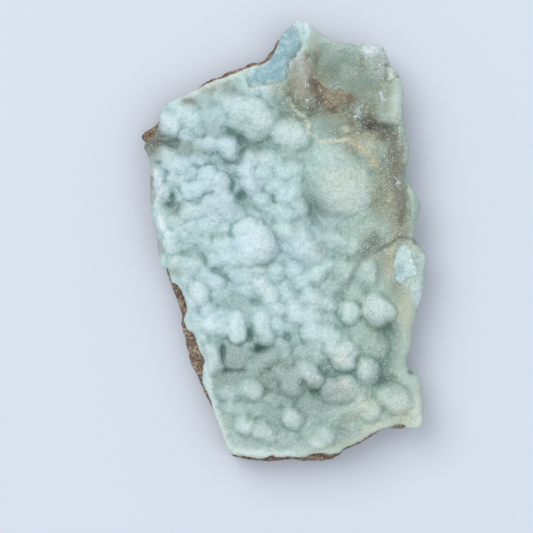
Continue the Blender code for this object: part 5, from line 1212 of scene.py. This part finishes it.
def crust_material():
    """Waxy, slightly translucent hemimorphite with its stains, glittering druse, painted shade and
    painted highlights.
    """
    material, tree, shader = shader_tree("Botryoidal hemimorphite", 0.5)
    shades = CRUST_COLOURS
    held = {name: vertex_value(tree, name) for name in (*COLOUR_AREAS, "crease", "hollow", "gloss")}
    mottle = cloudy(tree, 1.6, 4.0, 0.65)
    fine = cloudy(tree, 0.8, 2.0, 0.8)
    spots = ranged(tree, mottle, 0.3, 0.6, 0.5, 1.0)
    specks = ranged(tree, fine, 0.3, 0.6, 0.4, 1.0)
    colour = shades["pale"]
    for name in ("lavender", "green", "dim"):
        colour = blended(tree, held[name], colour, shades[name])
    colour = blended(tree, ranged(tree, cloudy(tree, 9.0), 0.35, 0.7, 0.0, 0.12), colour, shades["white"])
    murky = ranged(tree, cloudy(tree, 4.6, 4.0, 0.6), 0.42, 0.68, 0.0, 0.45)
    colour = blended(tree, murky, colour, shades["murky"])
    # Painted highlight: lump tops, which stand above their surroundings, lightened towards white, less
    # where dim or glossy
    raised = ranged(tree, held["hollow"], -0.9, 0.1, 0.45, 0.0)
    less_top_light = worked(tree, "MAXIMUM", held["dim"], held["gloss"])
    raised = worked(tree, "MULTIPLY", raised, ranged(tree, less_top_light, 0.2, 1.0, 1.0, 0.1))
    colour = blended(tree, raised, colour, shades["white"])
    # Painted shade: creases and hollows darkened towards the deep colour
    for name, most in (("crease", 0.5), ("hollow", 0.42)):
        share = ranged(tree, held[name], 0.0, 1.0, 0.0, most)
        colour = blended(tree, share, colour, shades["deep"])
    for name in ("olive", "beige", "mauve", "tan", "rust", "cream"):
        share = worked(tree, "MULTIPLY", held[name], spots)
        colour = blended(tree, share, colour, shades[name])
    for name in ("shade", "stain"):
        share = worked(tree, "MULTIPLY", held[name], specks)
        colour = blended(tree, share, colour, shades[name])
    block = ranged(tree, cloudy(tree, 3.4, 4.0), 0.42, 0.75, 0.0, 0.75)
    blocks = blended(tree, block, shades["blue"], shades["ice"])
    colour = blended(tree, held["blue"], colour, blocks)
    for name in ("frost_and_top_light", "ice", "teal", "white"):
        colour = blended(tree, held[name], colour, shades[name])
    earthy = worked(tree, "MAXIMUM", held["olive"], held["beige"])
    earthy = worked(tree, "MAXIMUM", earthy, held["rust"])
    green = worked(tree, "MULTIPLY", held["green"], 0.6)
    grainy = ranged(tree, worked(tree, "MAXIMUM", earthy, green), 0.1, 0.8, 0.6, 1.0)
    grainy = worked(tree, "MULTIPLY", grainy, ranged(tree, cloudy(tree, 12.0), 0.3, 0.7, 0.6, 1.0))
    plain = worked(tree, "MAXIMUM", held["gloss"], held["white"])
    grainy = worked(tree, "MULTIPLY", grainy, ranged(tree, plain, 0.3, 1.0, 1.0, 0.55))
    darker = worked(tree, "MULTIPLY", ranged(tree, fine, 0.3, 0.5, 0.6, 0.0), grainy)
    lighter = worked(tree, "MULTIPLY", ranged(tree, fine, 0.52, 0.72, 0.0, 0.7), grainy)
    grain = blended(tree, earthy, shades["deep"], shades["brown"])
    colour = blended(tree, darker, colour, grain)
    colour = blended(tree, lighter, colour, shades["white"])
    tree.links.new(colour, shader.inputs["Base Color"])
    dull = ranged(tree, held["gloss"], 0.3, 1.0, 0.5, 0.28)
    tree.links.new(dull, shader.inputs["Roughness"])
    shader.inputs["IOR"].default_value = 1.6
    tree.links.new(ranged(tree, grainy, 0.1, 0.7, 0.4, 0.12), shader.inputs["Subsurface Weight"])
    shader.inputs["Subsurface Radius"].default_value = (0.7, 1.0, 0.95)
    shader.inputs["Subsurface Scale"].default_value = 0.0014
    druse = worked(tree, "MULTIPLY", grains(tree, 0.8), 0.6)
    relief = worked(tree, "ADD", druse, worked(tree, "MULTIPLY", fine, 0.5))
    bump = add(tree, "ShaderNodeBump", {"Strength": grainy, "Distance": 0.0006, "Height": relief})
    tree.links.new(bump.outputs["Normal"], shader.inputs["Normal"])
    return material


def glitter_material():
    """Bright crystals, clear in nature but coloured near-white as a painted glint, which read as white
    points.
    """
    material, _, shader = shader_tree("Bright crystals", 0.12)
    # Near-white base colour: painted glint on the tiny crystals
    shader.inputs["Base Color"].default_value = (0.90, 0.95, 0.95, 1)
    shader.inputs["IOR"].default_value = 1.62
    return material


def rock_material():
    """Brown, granular broken rock."""
    mid, light, dark, rusty, ochre = ROCK_COLOURS.values()
    material, tree, shader = shader_tree("Brown granular matrix", 0.85)
    speckle = cloudy(tree, 0.9, 5.0, 0.75)
    colour = blended(tree, ranged(tree, cloudy(tree, 5.0), 0.42, 0.62), mid, light)
    colour = blended(tree, ranged(tree, cloudy(tree, 3.0), 0.52, 0.66, 0.0, 0.8), colour, rusty)
    colour = blended(tree, ranged(tree, cloudy(tree, 4.2), 0.54, 0.68, 0.0, 0.8), colour, ochre)
    colour = blended(tree, ranged(tree, speckle, 0.40, 0.54, 0.95, 0.0), colour, dark)
    bright = ranged(tree, grains(tree, 1.0, "Color"), 0.72, 0.86, 0.0, 0.65)
    colour = blended(tree, bright, colour, light)
    tree.links.new(colour, shader.inputs["Base Color"])
    grit = worked(tree, "MULTIPLY", grains(tree, 1.0), 0.5)
    relief = worked(tree, "ADD", grit, worked(tree, "MULTIPLY", speckle, 0.5))
    bump = add(tree, "ShaderNodeBump", {"Strength": 1.0, "Distance": 0.0009, "Height": relief})
    tree.links.new(bump.outputs["Normal"], shader.inputs["Normal"])
    return material


def build_floor():
    """A plain pale floor."""
    material, _, shader = shader_tree("Pale floor", 0.9)
    shader.inputs["Base Color"].default_value = (0.74, 0.78, 0.85, 1)
    shader.inputs["Specular IOR Level"].default_value = 0.1
    bm = bmesh.new()
    bmesh.ops.create_grid(bm, x_segments=1, y_segments=1, size=2.5,
                          matrix=Matrix.Translation((0, 0, -0.0001)))
    mesh = bpy.data.meshes.new("floor")
    bm.to_mesh(mesh)
    bm.free()
    mesh.materials.append(material)
    floor = bpy.data.objects.new("floor", mesh)
    bpy.context.scene.collection.objects.link(floor)


def add_light(name, place, size, power, colour):
    """A square soft light that faces the specimen."""
    light = bpy.data.lights.new(name, "AREA")
    light.size = size
    light.energy = power
    light.color = colour
    thing = bpy.data.objects.new(name, light)
    thing.location = place
    thing.rotation_euler = (-Vector(place)).to_track_quat("-Z", "Y").to_euler()
    bpy.context.scene.collection.objects.link(thing)


def build_light():
    """Soft studio light from the upper left, with an even sky."""
    world = bpy.data.worlds.new("Studio")
    world.use_nodes = True
    sky = world.node_tree.nodes["Background"]
    sky.inputs["Color"].default_value = (0.86, 0.92, 1.0, 1)
    sky.inputs["Strength"].default_value = 0.60
    bpy.context.scene.world = world
    add_light("window", (-1.4, 1.5, 2.8), 2.4, 52.0, (1.0, 0.99, 0.97))
    add_light("fill", (1.2, -0.8, 3.0), 2.4, 18.0, (0.95, 0.98, 1.0))
    bpy.context.scene.view_settings.view_transform = "Standard"


def build_camera():
    """A camera straight over the crust, framed as the photograph is."""
    camera = bpy.data.cameras.new("camera")
    camera.lens = LENS
    camera.sensor_width = SENSOR
    thing = bpy.data.objects.new("camera", camera)
    height = SHARP_LEVEL + PHOTO_WIDTH * PIXEL * LENS / SENSOR
    thing.location = (PHOTO_MIDDLE[0] * MM, PHOTO_MIDDLE[1] * MM, height * MM)
    bpy.context.scene.collection.objects.link(thing)
    bpy.context.scene.camera = thing


build_camera()
build_light()
build_floor()
build_rock()
build_crust()
